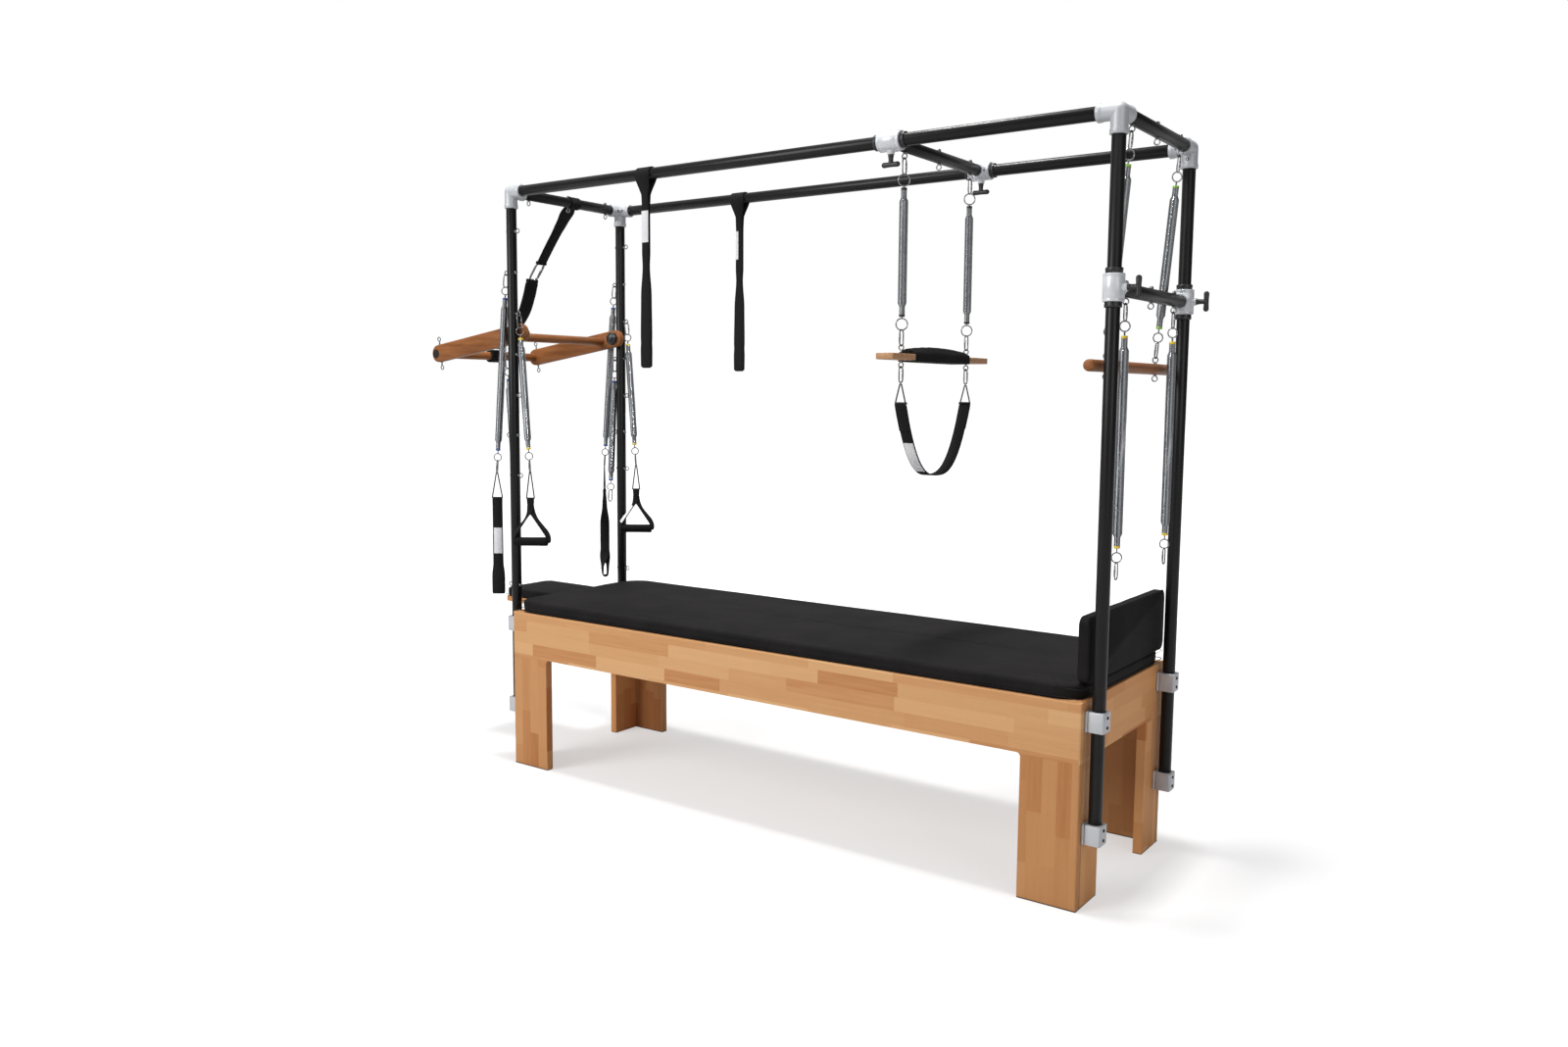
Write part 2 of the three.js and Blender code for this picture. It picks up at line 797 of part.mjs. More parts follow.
function cornerFitting() {
  const ball = new THREE.SphereGeometry(fittingRadius, tubeSides, tubeSides / 2);
  ball.rotateX(quarterTurn);
  const legs = [
    solid(fittingLeg().rotateX(Math.PI)),
    solid(fittingLeg().rotateY(-quarterTurn)),
    solid(fittingLeg().rotateX(quarterTurn)),
  ];
  const bores = [
    solid(fittingBore().rotateX(Math.PI)),
    solid(fittingBore().rotateY(-quarterTurn)),
    solid(fittingBore().rotateX(quarterTurn)),
  ];
  return cut(join([solid(ball), ...legs]), bores);
}

const cornersInTurn = [['far', 'right', 1, 1], ['far', 'left', -1, 1],
  ['near', 'left', -1, -1], ['near', 'right', 1, -1]];
cornersInTurn.forEach(([side, end, wayX, wayY], turn) => {
  const mesh = piece(`corner_${side}_${end}`, cornerFitting(), castGrey);
  mesh.position.set(wayX * postX, wayY * postY, canopyHeight);
  mesh.rotation.z = turn * quarterTurn;
});

// Sleeve along X with its bushing and a threaded boss pointing down
function sleeve() {
  const half = sleeveLength / 2;
  const long = bushingLength / 2;
  const profile = [
    [bushingBore, -long], [bushingRadius, -long], [bushingRadius, -half],
    [sleeveRadius, -half], [sleeveRadius, half], [bushingRadius, half],
    [bushingRadius, long], [bushingBore, long], [bushingBore, -long],
  ];
  const body = solid(alongX(turned(profile)));
  const bossBottom = -sleeveRadius - bossHeight;
  const bossLength = bossHeight + (sleeveRadius - bushingBore) / 2;
  const boss = solid(rod(bossRadius, bossLength, knobSides).translate(0, 0, bossBottom));
  const hole = rod(roomFor(knobScrewRadius, knobSides), bossLength + 2 * overrun, knobSides);
  const drill = solid(hole.translate(0, 0, bossBottom - overrun));
  return body.add(boss).subtract(drill);
}

// Knob under a sleeve: screw, neck and crossbar, on the Z axis through the sleeve's centre
function teeKnob() {
  const screwTop = -bushingBore - clearance;
  const neckTop = -sleeveRadius - bossHeight - clearance;
  const stem = turned([
    [0, -knobReach], [knobNeckRadius, -knobReach], [knobNeckRadius, neckTop],
    [knobScrewRadius, neckTop], [knobScrewRadius, screwTop], [0, screwTop],
  ], knobSides);
  const bar = centredX(rod(knobBarRadius, knobBarLength, knobSides), knobBarLength);
  return solid(stem).add(solid(bar.translate(0, 0, -knobReach)));
}

// Tube between two sleeves, coped to them
function sleevedTube(eyePlaces, eyeTurn) {
  const body = crossTube(canopyWidth, eyePlaces, eyeTurn);
  const copeLength = 4 * sleeveRadius;
  const cope = centredX(rod(sleeveRadius + clearance, copeLength), copeLength);
  const tools = sidesOfTable.map(([, way]) => solid(cope.clone().translate(0, way * postY, 0)));
  return body.subtract(join(tools));
}

function sleevedTubeParts(name, parent, eyePlaces, eyeTurn) {
  piece(`${name}_tube`, sleevedTube(eyePlaces, eyeTurn), blackPaint, parent);
  for (const [side, way] of sidesOfTable) {
    piece(`${name}_sleeve_${side}`, sleeve(), greyPaint, parent).position.y = way * postY;
    piece(`${name}_knob_${side}`, teeKnob(), black, parent).position.y = way * postY;
  }
}

const slider = groupAt(sliderPlace, 0, canopyHeight);
sleevedTubeParts('slider', slider, [-trapezeOffset, 0, trapezeOffset], -90);

// The slide bar is the same assembly turned to run up and down the right posts
const slideBar = groupAt(postX, 0, slideBarHeight);
slideBar.rotation.y = -quarterTurn;
sleevedTubeParts('slide_bar', slideBar, [-springOffset, 0, springOffset], 0);

// Push-through bar, pivoting between the left posts
const pushBar = groupAt(-postX, 0, pivotHeight);
pushBar.rotation.y = -armTilt;
const armOuterY = postY - tubeRadius - armGapToPost;
const armInnerY = armOuterY - armThickness;
const armMiddleY = (armOuterY + armInnerY) / 2;

function arm() {
  const radius = armDepth / 2;
  const shape = new THREE.Shape();
  shape.absarc(armTail - radius, 0, radius, -quarterTurn, quarterTurn, false);
  shape.lineTo(-armLength + radius, radius);
  shape.absarc(-armLength + radius, 0, radius, quarterTurn, 3 * quarterTurn, false);
  const body = solid(upright(plate(shape, armThickness, 5), armThickness / 2));
  const hole = (radiusOfPin, x, sides = tubeSides) => {
    const pin = rod(roomFor(radiusOfPin, sides), armThickness + 2 * overrun, sides);
    return solid(centredY(pin, armThickness + 2 * overrun).translate(x, 0, 0));
  };
  const holes = [
    hole(pivotBoltRadius, 0, gripKnobSides),
    hole(handleDiameter / 2, -handleFromPivot),
    hole(stiffenerDiameter / 2, -stiffenerFromPivot),
  ];
  const eyes = eyePair(armEyeReach, radius).translate([-armEyeFromPivot, 0, 0]);
  return cut(body, holes).add(eyes);
}

function gripKnob() {
  const radius = gripKnobDiameter / 2;
  const boltLength = armThickness + armGapToPost - clearance;
  const lobed = turned([
    [0, -gripKnobThickness - gripKnobCap], [radius / 2, -gripKnobThickness - gripKnobCap],
    [radius, -gripKnobThickness], [radius, 0], [0, 0],
  ], gripKnobSides);
  const bolt = rod(pivotBoltRadius, boltLength + clearance + weldReach, gripKnobSides);
  return solid(lobed).add(solid(bolt.translate(0, 0, -weldReach)));
}

for (const [side, way] of sidesOfTable) {
  piece(`arm_${side}`, arm(), darkWood, pushBar).position.y = way * armMiddleY;
  const knob = piece(`bar_knob_${side}`, gripKnob(), black, pushBar);
  knob.position.y = way * (armInnerY - clearance);
  knob.rotation.x = -way * quarterTurn;
}
const handleBody = solid(centredY(rod(handleDiameter / 2, 2 * armOuterY), 2 * armOuterY));
piece('bar_handle', handleBody, darkWood, pushBar).position.x = -handleFromPivot;
const stiffenerBody = solid(centredY(rod(stiffenerDiameter / 2, 2 * armOuterY), 2 * armOuterY));
piece('bar_stiffener', stiffenerBody, darkWood, pushBar).position.x = -stiffenerFromPivot;

// Trapeze: two springs from the slider, the board, its cover and the sling
const trapezeTop = groupAt(sliderPlace, 0, canopyHeight - eyeReachTube);
for (const [side, way] of sidesOfTable) {
  const body = hangingSpring(trapezeSpring);
  piece(`trapeze_spring_${side}`, body, steel, trapezeTop).position.y = way * trapezeOffset;
}
const trapezeEyeDrop = lowerEyeFromEye(trapezeSpring);
const board = groupAt(0, 0, -trapezeEyeDrop, trapezeTop);
const boardTop = -eyeReachTrapeze;

function trapezeBoard() {
  const shape = roundedRectangle(boardWidth, boardLength, boardCornerRadius);
  const parts = [solid(plate(shape, boardThickness, 2).translate(0, 0, boardTop - boardThickness))];
  for (const [, way] of sidesOfTable) {
    const upper = eyebolt(0, -eyeReachTrapeze).rotate([0, 90, 0]);
    const lowEyeZ = boardTop - boardThickness - eyeReachBoard;
    const lower = eyebolt(0, -eyeReachBoard).rotate([0, -90, 0]).translate([0, 0, lowEyeZ]);
    parts.push(upper.translate([0, way * trapezeOffset, 0]));
    parts.push(lower.translate([0, way * trapezeOffset, 0]));
  }
  return join(parts);
}
piece('trapeze_board', trapezeBoard(), wood, board);

// Padded sleeve round the middle of the board, domed on top
function boardCover() {
  const shape = new THREE.Shape();
  const half = boardWidth / 2 + clearance + coverWall;
  const low = -boardThickness / 2 - clearance - coverWall;
  const high = boardThickness / 2 + clearance + coverWall;
  shape.moveTo(-half, low);
  shape.lineTo(half, low);
  shape.lineTo(half, high);
  shape.quadraticCurveTo(0, high + 2 * coverCrown, -half, high);
  const body = solid(plate(shape, coverLength, 6));
  const room = new THREE.BoxGeometry(
    boardWidth + 2 * clearance, boardThickness + 2 * clearance, 2 * (coverLength + overrun),
  );
  return body.subtract(solid(room));
}
const cover = piece('trapeze_cover', boardCover(), black, board);
cover.rotation.x = quarterTurn;
cover.position.set(0, coverLength / 2, boardTop - boardThickness / 2);

// Flat triangular ring in the XZ plane, its upper bar at the origin
function triangleRing(width, height) {
  const ring = (inset) => {
    const half = width / 2 - inset;
    const top = (triangleTop + triangleWire - inset) / 2;
    return [
      [-half, -height + inset + triangleWire / 2], [-half + inset / 2, -height + inset],
      [half - inset / 2, -height + inset], [half, -height + inset + triangleWire / 2],
      [top, -inset], [-top, -inset],
    ];
  };
  const shape = outline(ring(0));
  shape.holes.push(outline(ring(triangleWire)));
  const geometry = upright(plate(shape, triangleWire), triangleWire / 2);
  return geometry.translate(0, 0, triangleWire / 2);
}

const barToRing = linkWire * wireFlatShare + triangleWire / 2 + swingGap;
const barJoin = linkWire * wireFlatShare + triangleWire / 2 - joinDepth;

// Sling: links and triangles under the board, and one band of webbing between them
const slingEyeDrop = eyeReachTrapeze + boardThickness + eyeReachBoard;
const sling = groupAt(0, 0, -slingEyeDrop, board);
const slingRingTop = -hookDrop - linkBarDrop + barJoin;
const slingRingBase = slingRingTop + triangleWire / 2 - triangleHeight;

function slingBand() {
  const inner = [];
  const outer = [];
  for (let step = 0; step <= slingSteps; step += 1) {
    const share = Math.sin(quarterTurn * ((2 * step) / slingSteps - 1));
    const y = trapezeOffset * share;
    const z = slingRingBase - slingDepth + (slingDepth + triangleWire / 2)
      * Math.abs(share) ** slingCurvePower;
    const slope = slingDepth * slingCurvePower * Math.sign(share)
      * Math.abs(share) ** (slingCurvePower - 1) / trapezeOffset;
    const normal = new THREE.Vector2(-slope, 1).normalize().multiplyScalar(webbing / 2);
    inner.push([y + normal.x, z + normal.y]);
    outer.unshift([y - normal.x, z - normal.y]);
  }
  const geometry = plate(outline([...outer, ...inner].reverse()), slingWidth);
  // The outline is drawn in Y and Z, and its width runs along X
  geometry.rotateY(quarterTurn).rotateX(quarterTurn);
  return geometry.translate(-slingWidth / 2, 0, 0);
}

function slingBody() {
  const parts = [solid(slingBand())];
  for (const [, way] of sidesOfTable) {
    const link = snapLink().translate(0, 0, -hookDrop);
    const triangle = triangleRing(triangleWidth, triangleHeight).translate(0, 0, slingRingTop);
    parts.push(solid(link.translate(0, way * trapezeOffset, 0)));
    parts.push(solid(triangle.translate(0, way * trapezeOffset, 0)));
  }
  return join(parts);
}
piece('trapeze_sling', slingBody(), webbingBlack, sling);

// Yellow springs hanging from the slide bar
for (const [side, way] of sidesOfTable) {
  const group = groupAt(postX, way * springOffset, slideBarHeight - eyeReachTube);
  piece(`side_spring_${side}`, hangingSpring(longSpring), steel, group);
}

// Roll-down bar: two springs that lean against the slide bar, and the dowel below them
const slideBarDrop = canopyHeight - eyeReachTube - slideBarHeight;
const rollDownLean = Math.asin((tubeRadius + springRadius + springRestGap) / slideBarDrop);
const rollDown = groupAt(postX, 0, canopyHeight - eyeReachTube);
const rollSprings = groupAt(0, 0, 0, rollDown);
rollSprings.rotation.y = rollDownLean;
for (const [side, way] of sidesOfTable) {
  const body = hangingSpring(shortSpring);
  piece(`rolldown_spring_${side}`, body, steel, rollSprings).position.y = way * springOffset;
}

function rollDownBar() {
  const radius = rollDownDiameter / 2;
  const end = radius / 2;
  const half = rollDownLength / 2;
  const profile = [
    [0, -half], [radius - end / 2, -half], [radius, -half + end], [radius, half - end],
    [radius - end / 2, half], [0, half],
  ];
  const parts = [solid(alongY(turned(profile)))];
  for (const [, way] of sidesOfTable) {
    const eyes = eyePair(rollDownEyeReach - radius, radius);
    parts.push(eyes.translate([0, way * springOffset, 0]));
  }
  return join(parts);
}
const rollDownDrop = lowerEyeFromEye(shortSpring);
const dowel = groupAt(
  -rollDownDrop * Math.sin(rollDownLean), 0, -rollDownDrop * Math.cos(rollDownLean), rollDown,
);
piece('rolldown_bar', rollDownBar(), darkWood, dowel).position.z = -rollDownEyeReach;

// Springs on the left posts. The lean is about Y for those that carry a loop or a handle and
// about X for the two free ones
const eyeOuterX = -postX - eyeReachPost;
const eyeInnerX = -postX + eyeReachPost;
const leftSprings = [
  { name: 'outer_spring_near', x: eyeOuterX, way: -1, step: 0, spring: longSpring, lean: outerLean },
  { name: 'outer_spring_far', x: eyeOuterX, way: 1, step: 0, spring: longSpring, lean: farOuterLean },
  { name: 'inner_spring_near', x: eyeInnerX, way: -1, step: 1, spring: shortSpring, lean: -innerLean },
  { name: 'inner_spring_far', x: eyeInnerX, way: 1, step: 1, spring: shortSpring, lean: -innerLean },
];
const springEnds = {};
for (const { name, x, way, step, spring, lean } of leftSprings) {
  const height = eyeOuterFirst - step * eyeSpacing;
  const group = groupAt(x, way * postY, height);
  group.rotation.y = lean;
  piece(name, hangingSpring(spring, handleTurn), steel, group);
  const drop = lowerBarFromEye(spring);
  springEnds[name] = [x - drop * Math.sin(lean), way * postY, height - drop * Math.cos(lean)];
}
for (const [side, way] of sidesOfTable) {
  const height = eyeOuterFirst - 2 * eyeSpacing;
  const group = groupAt(eyeOuterX, way * postY, height - eyeRadius);
  group.rotation.x = -way * sidewaysLean;
  const body = hangingSpring(shortSpring).translate([0, 0, eyeRadius + swingGap - hookGap]);
  piece(`free_spring_${side}`, body, steel, group);
}

// Handle: a tall ring, a neck of webbing that splits to both ends of a round grip
function handle() {
  const ringBase = barToRing + triangleWire / 2 - handleRingHeight;
  const neckBase = ringBase - handleNeckLength;
  const gripZ = -gripDrop;
  const half = strapWidth / 2;
  const gripEnd = gripWidth / 2;
  const ring = triangleRing(handleRingWidth, handleRingHeight).translate(0, 0, barToRing);
  const neck = new THREE.BoxGeometry(strapWidth, webbing, handleNeckLength + triangleWire);
  neck.translate(0, 0, (ringBase + neckBase + triangleWire) / 2);
  const grip = centredX(rod(gripRadius, gripWidth), gripWidth).translate(0, 0, gripZ);
  const parts = [solid(ring), solid(neck), solid(grip)];
  for (const way of [-1, 1]) {
    const leg = outline([
      [0, neckBase + half], [way * half, neckBase + webbing],
      [way * gripEnd, gripZ + gripRadius / 2], [way * gripEnd, gripZ - gripRadius / 2],
      [way * (gripEnd - 2 * webbing), gripZ], [0, neckBase - half],
    ]);
    parts.push(solid(upright(plate(leg, webbing), webbing / 2)));
  }
  return join(parts);
}

// Loop: a wide ring with a long band of webbing that ends in an eye
function loop(ringHeight, length) {
  const ring = triangleRing(loopRingWidth, ringHeight).translate(0, 0, barToRing);
  const top = barToRing + triangleWire - ringHeight;
  const half = loopWidth / 2;
  const bottom = top - length;
  const shape = outline([[-half, bottom + half / 2], [-half / 2, bottom], [half / 2, bottom],
    [half, bottom + half / 2], [half, top], [-half, top]]);
  const eye = roundedRectangle(loopEyeWidth, loopEyeLength, loopEyeWidth / 3).getPoints(1);
  const eyeMiddle = bottom + loopEyeLength / 2 + half / 2;
  shape.holes.push(outline(eye.map((point) => [point.x, point.y + eyeMiddle])));
  return solid(ring).add(solid(upright(plate(shape, webbing), webbing / 2)));
}

for (const [side] of sidesOfTable) {
  const outerEnd = springEnds[`outer_spring_${side}`];
  const loopMesh = piece(`loop_${side}`, loop(loopRingHeight, loopLength), webbingBlack);
  loopMesh.position.set(...outerEnd);
  loopMesh.rotation.z = handleTurn;
  const innerEnd = springEnds[`inner_spring_${side}`];
  const handleMesh = piece(`handle_${side}`, handle(), webbingBlack);
  handleMesh.position.set(...innerEnd);
  handleMesh.rotation.z = handleTurn;
}

// Hanging strap choked round a top rail
function hangingStrap() {
  const bore = roomFor(tubeRadius, tubeSides);
  const topHalf = hangStrapTopWidth / 2;
  const narrowHalf = hangStrapNarrow / 2;
  const wideHalf = hangStrapWide / 2;
  const right = [
    [topHalf, 0], [topHalf, -bore], [narrowHalf, -hangStrapNarrowDrop],
    [wideHalf, -hangStrapWideDrop], [wideHalf, -hangStrapDrop + wideHalf],
    [wideHalf / 2, -hangStrapDrop],
  ];
  const left = right.map(([x, z]) => [-x, z]).reverse();
  const flat = plate(outline([...left, ...right].reverse()), hangStrapThickness);
  const band = solid(upright(flat, hangStrapThickness / 2));
  const wrap = solid(centredX(rod(bore + hangStrapWall, hangStrapTopWidth), hangStrapTopWidth));
  const room = solid(centredX(rod(bore, 2 * hangStrapTopWidth), 2 * hangStrapTopWidth));
  return band.add(wrap).subtract(room);
}
for (const [side, way] of sidesOfTable) {
  const place = way < 0 ? hangStrapNear : hangStrapFar;
  const mesh = piece(`hanging_strap_${side}`, hangingStrap(), webbingBlack);
  mesh.position.set(place, way * postY, canopyHeight);
}

// Safety strap from the left cross tube to the handle dowel, drawn in X and Z
const handleX = -postX - handleFromPivot * Math.cos(armTilt);
const handleZ = pivotHeight - handleFromPivot * Math.sin(armTilt);

function safetyBand(shares, width, thickness) {
  const top = [-postX, canopyHeight];
  const along = shares.map(([x, z]) => new THREE.Vector2(
    top[0] + (handleX - top[0]) * x, top[1] + (handleZ - top[1]) * z,
  ));
  const curve = new THREE.SplineCurve(along).getPoints(safetySteps);
  const left = [];
  const right = [];
  curve.forEach((point, i) => {
    const before = curve[Math.max(i - 1, 0)];
    const after = curve[Math.min(i + 1, curve.length - 1)];
    const tangent = after.clone().sub(before).normalize().multiplyScalar(thickness / 2);
    left.push([point.x - tangent.y, point.y + tangent.x]);
    right.unshift([point.x + tangent.y, point.y - tangent.x]);
  });
  const band = plate(outline([...left, ...right]), width);
  return solid(upright(band, width / 2));
}

function safetyStrap() {
  const wrap = (x, z, radius, thickness, width) => {
    const ring = tube(radius + thickness, radius, width);
    return solid(centredY(ring, width).translate(x, 0, z));
  };
  const roomAtTop = roomFor(tubeRadius, tubeSides) + clearance;
  const roomAtHandle = roomFor(handleDiameter / 2, tubeSides) + clearance;
  const hollow = (x, z, radius) => {
    const geometry = centredY(rod(radius, 2 * safetyPadWidth), 2 * safetyPadWidth);
    return solid(geometry.translate(x, 0, z));
  };
  const body = join([
    safetyBand(safetyTopShares, safetyWidth, safetyThickness),
    safetyBand(safetyPadShares, safetyPadWidth, safetyPadThickness),
    wrap(-postX, canopyHeight, roomAtTop, safetyThickness, safetyWidth),
    wrap(handleX, handleZ, roomAtHandle, safetyPadThickness, safetyPadWidth),
  ]);
  return cut(body, [
    hollow(-postX, canopyHeight, roomAtTop), hollow(handleX, handleZ, roomAtHandle),
  ]);
}
piece('safety_strap', safetyStrap(), webbingBlack).position.y = safetyOffset;

console.log(`least gap between spring turns: ${Math.min(
  ...[shortSpring, longSpring, trapezeSpring].map(leastCoilGap),
).toFixed(2)} mm`);

// Stand the table on its origin
const box = new THREE.Box3().setFromObject(table);
const middle = box.getCenter(new THREE.Vector3());
table.position.set(-middle.x, -middle.y, -box.min.z);

export default table;
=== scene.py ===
# %% [markdown]
# # A pilates trapeze table
# The real table is a padded beech bench under a canopy of black steel tubes. Springs, straps, a
# trapeze and wooden bars hang from the canopy. The measured model is loaded first and never
# changed. Every visible part is then either one of its nodes with a better finish, or a finer
# piece that stands in the same place and moves with the same body.
# %% Load the measured table
import math

import bmesh
import bpy
from mathutils import Matrix, Vector, noise


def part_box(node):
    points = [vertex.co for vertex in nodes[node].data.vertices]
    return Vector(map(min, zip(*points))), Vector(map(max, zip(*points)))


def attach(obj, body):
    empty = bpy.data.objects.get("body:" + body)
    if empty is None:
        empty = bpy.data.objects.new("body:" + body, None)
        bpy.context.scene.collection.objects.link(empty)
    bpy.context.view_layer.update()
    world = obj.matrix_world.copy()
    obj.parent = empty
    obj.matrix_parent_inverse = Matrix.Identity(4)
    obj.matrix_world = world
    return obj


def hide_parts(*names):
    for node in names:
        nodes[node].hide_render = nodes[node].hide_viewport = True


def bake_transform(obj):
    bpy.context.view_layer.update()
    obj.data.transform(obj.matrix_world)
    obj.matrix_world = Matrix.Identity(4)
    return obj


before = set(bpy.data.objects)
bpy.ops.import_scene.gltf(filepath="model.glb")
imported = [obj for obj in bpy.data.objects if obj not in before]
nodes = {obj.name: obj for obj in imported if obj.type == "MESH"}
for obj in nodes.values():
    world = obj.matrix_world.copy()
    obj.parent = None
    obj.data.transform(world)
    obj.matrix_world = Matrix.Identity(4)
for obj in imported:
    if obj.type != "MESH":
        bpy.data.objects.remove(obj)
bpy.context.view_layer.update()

# %% [markdown]
# All sizes below are millimetres from the middle of the canopy, because that is how such a frame
# is drawn. The model's own zero is the middle of its whole box, which the push-through bar pulls
# to one side, so the near rail says how far the canopy's middle lies from it.
# %% Find the middle of the canopy
rail_low, rail_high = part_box("rail_near")
canopy_middle = (rail_low.x + rail_high.x) / 2
post_x, post_y, canopy_height, tube_radius = 1165, 292.5, 2161, 19
sides = {"near": -1, "far": 1}
ends = {"left": -1, "right": 1}


def table_point(x, y, z):
    """A point of the table in metres, from millimetres measured at the canopy's middle."""
    return Vector((canopy_middle + x / 1000, y / 1000, z / 1000))


print("canopy middle at x =", round(canopy_middle, 5), "m")

# %% [markdown]
# ## Camera
# The place, the direction and the lens were solved from the canopy's straight tubes, whose real
# lengths are known. A camera looks down its own -Z axis, so its three axes are built from the
# viewing direction and then rolled by under half a degree. The focal length and the point that the
# lens looks straight at are in pixels of the photograph.
# %% Set the camera
view_turn, view_tilt, view_roll = (math.radians(a) for a in (-35.81, -5.822, 0.435))
photo_width, photo_height = 1600, 1068
focal_length, middle_across, middle_down = 1229.2, 797.7, 527.2
forward = Vector((math.sin(view_turn) * math.cos(view_tilt),
                  math.cos(view_turn) * math.cos(view_tilt), math.sin(view_tilt)))
level = forward.cross(Vector((0, 0, 1))).normalized()
upward = level.cross(forward)
camera_x = level * math.cos(view_roll) + upward * math.sin(view_roll)
camera_y = upward * math.cos(view_roll) - level * math.sin(view_roll)
camera_place = table_point(2344.9, -3417.2, 1421.6)
camera = bpy.data.objects.new("camera", bpy.data.cameras.new("camera"))
bpy.context.scene.collection.objects.link(camera)
camera.matrix_world = Matrix.Translation(camera_place) @ Matrix(
    (camera_x, camera_y, -forward)).transposed().to_4x4()
camera.data.sensor_width = 36
camera.data.lens = camera.data.sensor_width * focal_length / photo_width
camera.data.shift_x = (photo_width / 2 - middle_across) / photo_width
camera.data.shift_y = (middle_down - photo_height / 2) / photo_width
bpy.context.scene.camera = camera
print("lens", round(camera.data.lens, 2), "mm")

# %% [markdown]
# ## Shaping tools
# Nearly every part of the table is an outline carried along a line: a tube, a ring, a strap, a
# wound spring. Skinning rings of points gives full control over each of them and stays light,
# where curve objects would need converting and primitives would look like stand-ins.
# %% Skin rings of points into a closed surface
def skin(rings, closed=False):
    """One closed surface through rings of equally many points, with flat caps unless it closes."""
    count = len(rings[0])
    verts = [Vector(point) for ring in rings for point in ring]
    faces = []
    for k in range(len(rings) if closed else len(rings) - 1):
        low, high = k * count, (k + 1) % len(rings) * count
        for i in range(count):
            j = (i + 1) % count
            faces.append((low + i, low + j, high + j, high + i))
    if not closed:
        faces.append(tuple(reversed(range(count))))
        faces.append(tuple(range(len(verts) - count, len(verts))))
    return verts, faces


def circle(radius, steps=12):
    return [(radius * math.cos(2 * math.pi * k / steps), radius * math.sin(2 * math.pi * k / steps))
            for k in range(steps)]


def turned(profile, steps=32, hollow=False):
    """A profile of (radius, height) turned about Z, as on a lathe."""
    return skin([[(x, y, height) for x, y in circle(radius, steps)]
                 for radius, height in profile], closed=hollow)


# %% [markdown]
# A tube, a strap and a wire are the same thing to the modeller: one outline carried along one line.
# The outline may be given once, or once for every point, so a strap can get wider or turn as it
# runs. A fixed up direction keeps it from spinning, which a bare frame along a curve would do.
# %% Carry an outline along a path
def carried(path, outlines, closed=False, up=(0, 0, 1)):
    """outlines is one list of (along up, across it), or a list with one for each point."""
    points = [Vector(point) for point in path]
    side, rings = Vector(up), []
    for i, point in enumerate(points):
        before = points[i - 1] if i or closed else point
        after = points[(i + 1) % len(points)] if i < len(points) - 1 or closed else point
        tangent = (after - before).normalized()
        side = (side - tangent * side.dot(tangent)).normalized()
        across = tangent.cross(side)
        outline = outlines[i] if isinstance(outlines[0][0], (list, tuple)) else outlines
        rings.append([point + side * a + across * b for a, b in outline])
    return skin(rings, closed)


def band(width, thickness):
    """The cross-section of webbing: flat, with rounded edges."""
    a, b, c = width / 2, thickness / 2, min(thickness, width) / 4
    return [(a, c), (a - c, b), (0, b), (c - a, b), (-a, c), (-a, -c), (c - a, -b), (0, -b),
            (a - c, -b), (a, -c)]


def eased(value, table):
    """A smooth value between the (place, value) pairs of a table."""
    for (a, low), (b, high) in zip(table, table[1:]):
        if value <= b:
            share = max(0, (value - a) / (b - a))
            return low + (high - low) * share * share * (3 - 2 * share)
    return table[-1][1]


def smooth_path(points, steps=6):
    """A rounded line through the points (Catmull-Rom), so straps hang without kinks."""
    p = [Vector(q) for q in points]
    p = [p[0] * 2 - p[1], *p, p[-1] * 2 - p[-2]]
    line = []
    for a, b, c, d in zip(p, p[1:], p[2:], p[3:]):
        for k in range(steps):
            t = k / steps
            line.append(0.5 * (2 * b + (c - a) * t + (2 * a - 5 * b + 4 * c - d) * t * t
                               + (3 * b - a - 3 * c + d) * t ** 3))
    return line + [p[-2]]


# %% [markdown]
# Until a piece is finished, a shape is only a list of points and a list of faces. Placing one is a
# matrix on its points, so a bolt can be shaped once at the origin and stood anywhere.
# %% Place shapes
def placed(shape, matrix):
    return [matrix @ v for v in shape[0]], shape[1]


def moved(shape, x, y, z):
    return placed(shape, Matrix.Translation((x, y, z)))


def rod(start, end, radius, steps=24, bevel=1.0):
    """A round bar between two points with a small bevel at both ends."""
    start, end = Vector(start), Vector(end)
    length = (end - start).length
    bevel = min(bevel, radius / 2, length / 3)
    shape = turned([(radius - bevel, 0), (radius, bevel), (radius, length - bevel),
                    (radius - bevel, length)], steps)
    turn = Vector((0, 0, 1)).rotation_difference((end - start).normalized()).to_matrix().to_4x4()
    return placed(shape, Matrix.Translation(start) @ turn)


def wire_ring(centre, normal, radius, wire, steps=28, sides=8):
    """A ring of round wire facing along normal."""
    normal = Vector(normal).normalized()
    first = normal.orthogonal().normalized()
    second = normal.cross(first)
    path = [Vector(centre) + first * x + second * y for x, y in circle(radius, steps)]
    return carried(path, circle(wire, sides), closed=True, up=normal)


def rounded_block(size, radius, steps=3):
    """A block with rounded vertical edges and softened rims, standing on zero."""
    rings = []
    x, y, height = size[0] / 2, size[1] / 2, size[2]
    soft = radius / 2
    for inset, level in ((soft, 0), (soft * 0.3, soft * 0.3), (0, soft), (0, height - soft),
                         (soft * 0.3, height - soft * 0.3), (soft, height)):
        ring = []
        for corner, (wx, wy) in enumerate(((1, 1), (-1, 1), (-1, -1), (1, -1))):
            for k in range(steps + 1):
                angle = math.pi / 2 * (corner + k / steps)
                r = max(radius - inset, 0.2)
                ring.append((wx * (x - inset - r) + r * math.cos(angle),
                             wy * (y - inset - r) + r * math.sin(angle), level))
        rings.append(ring)
    return skin(rings)


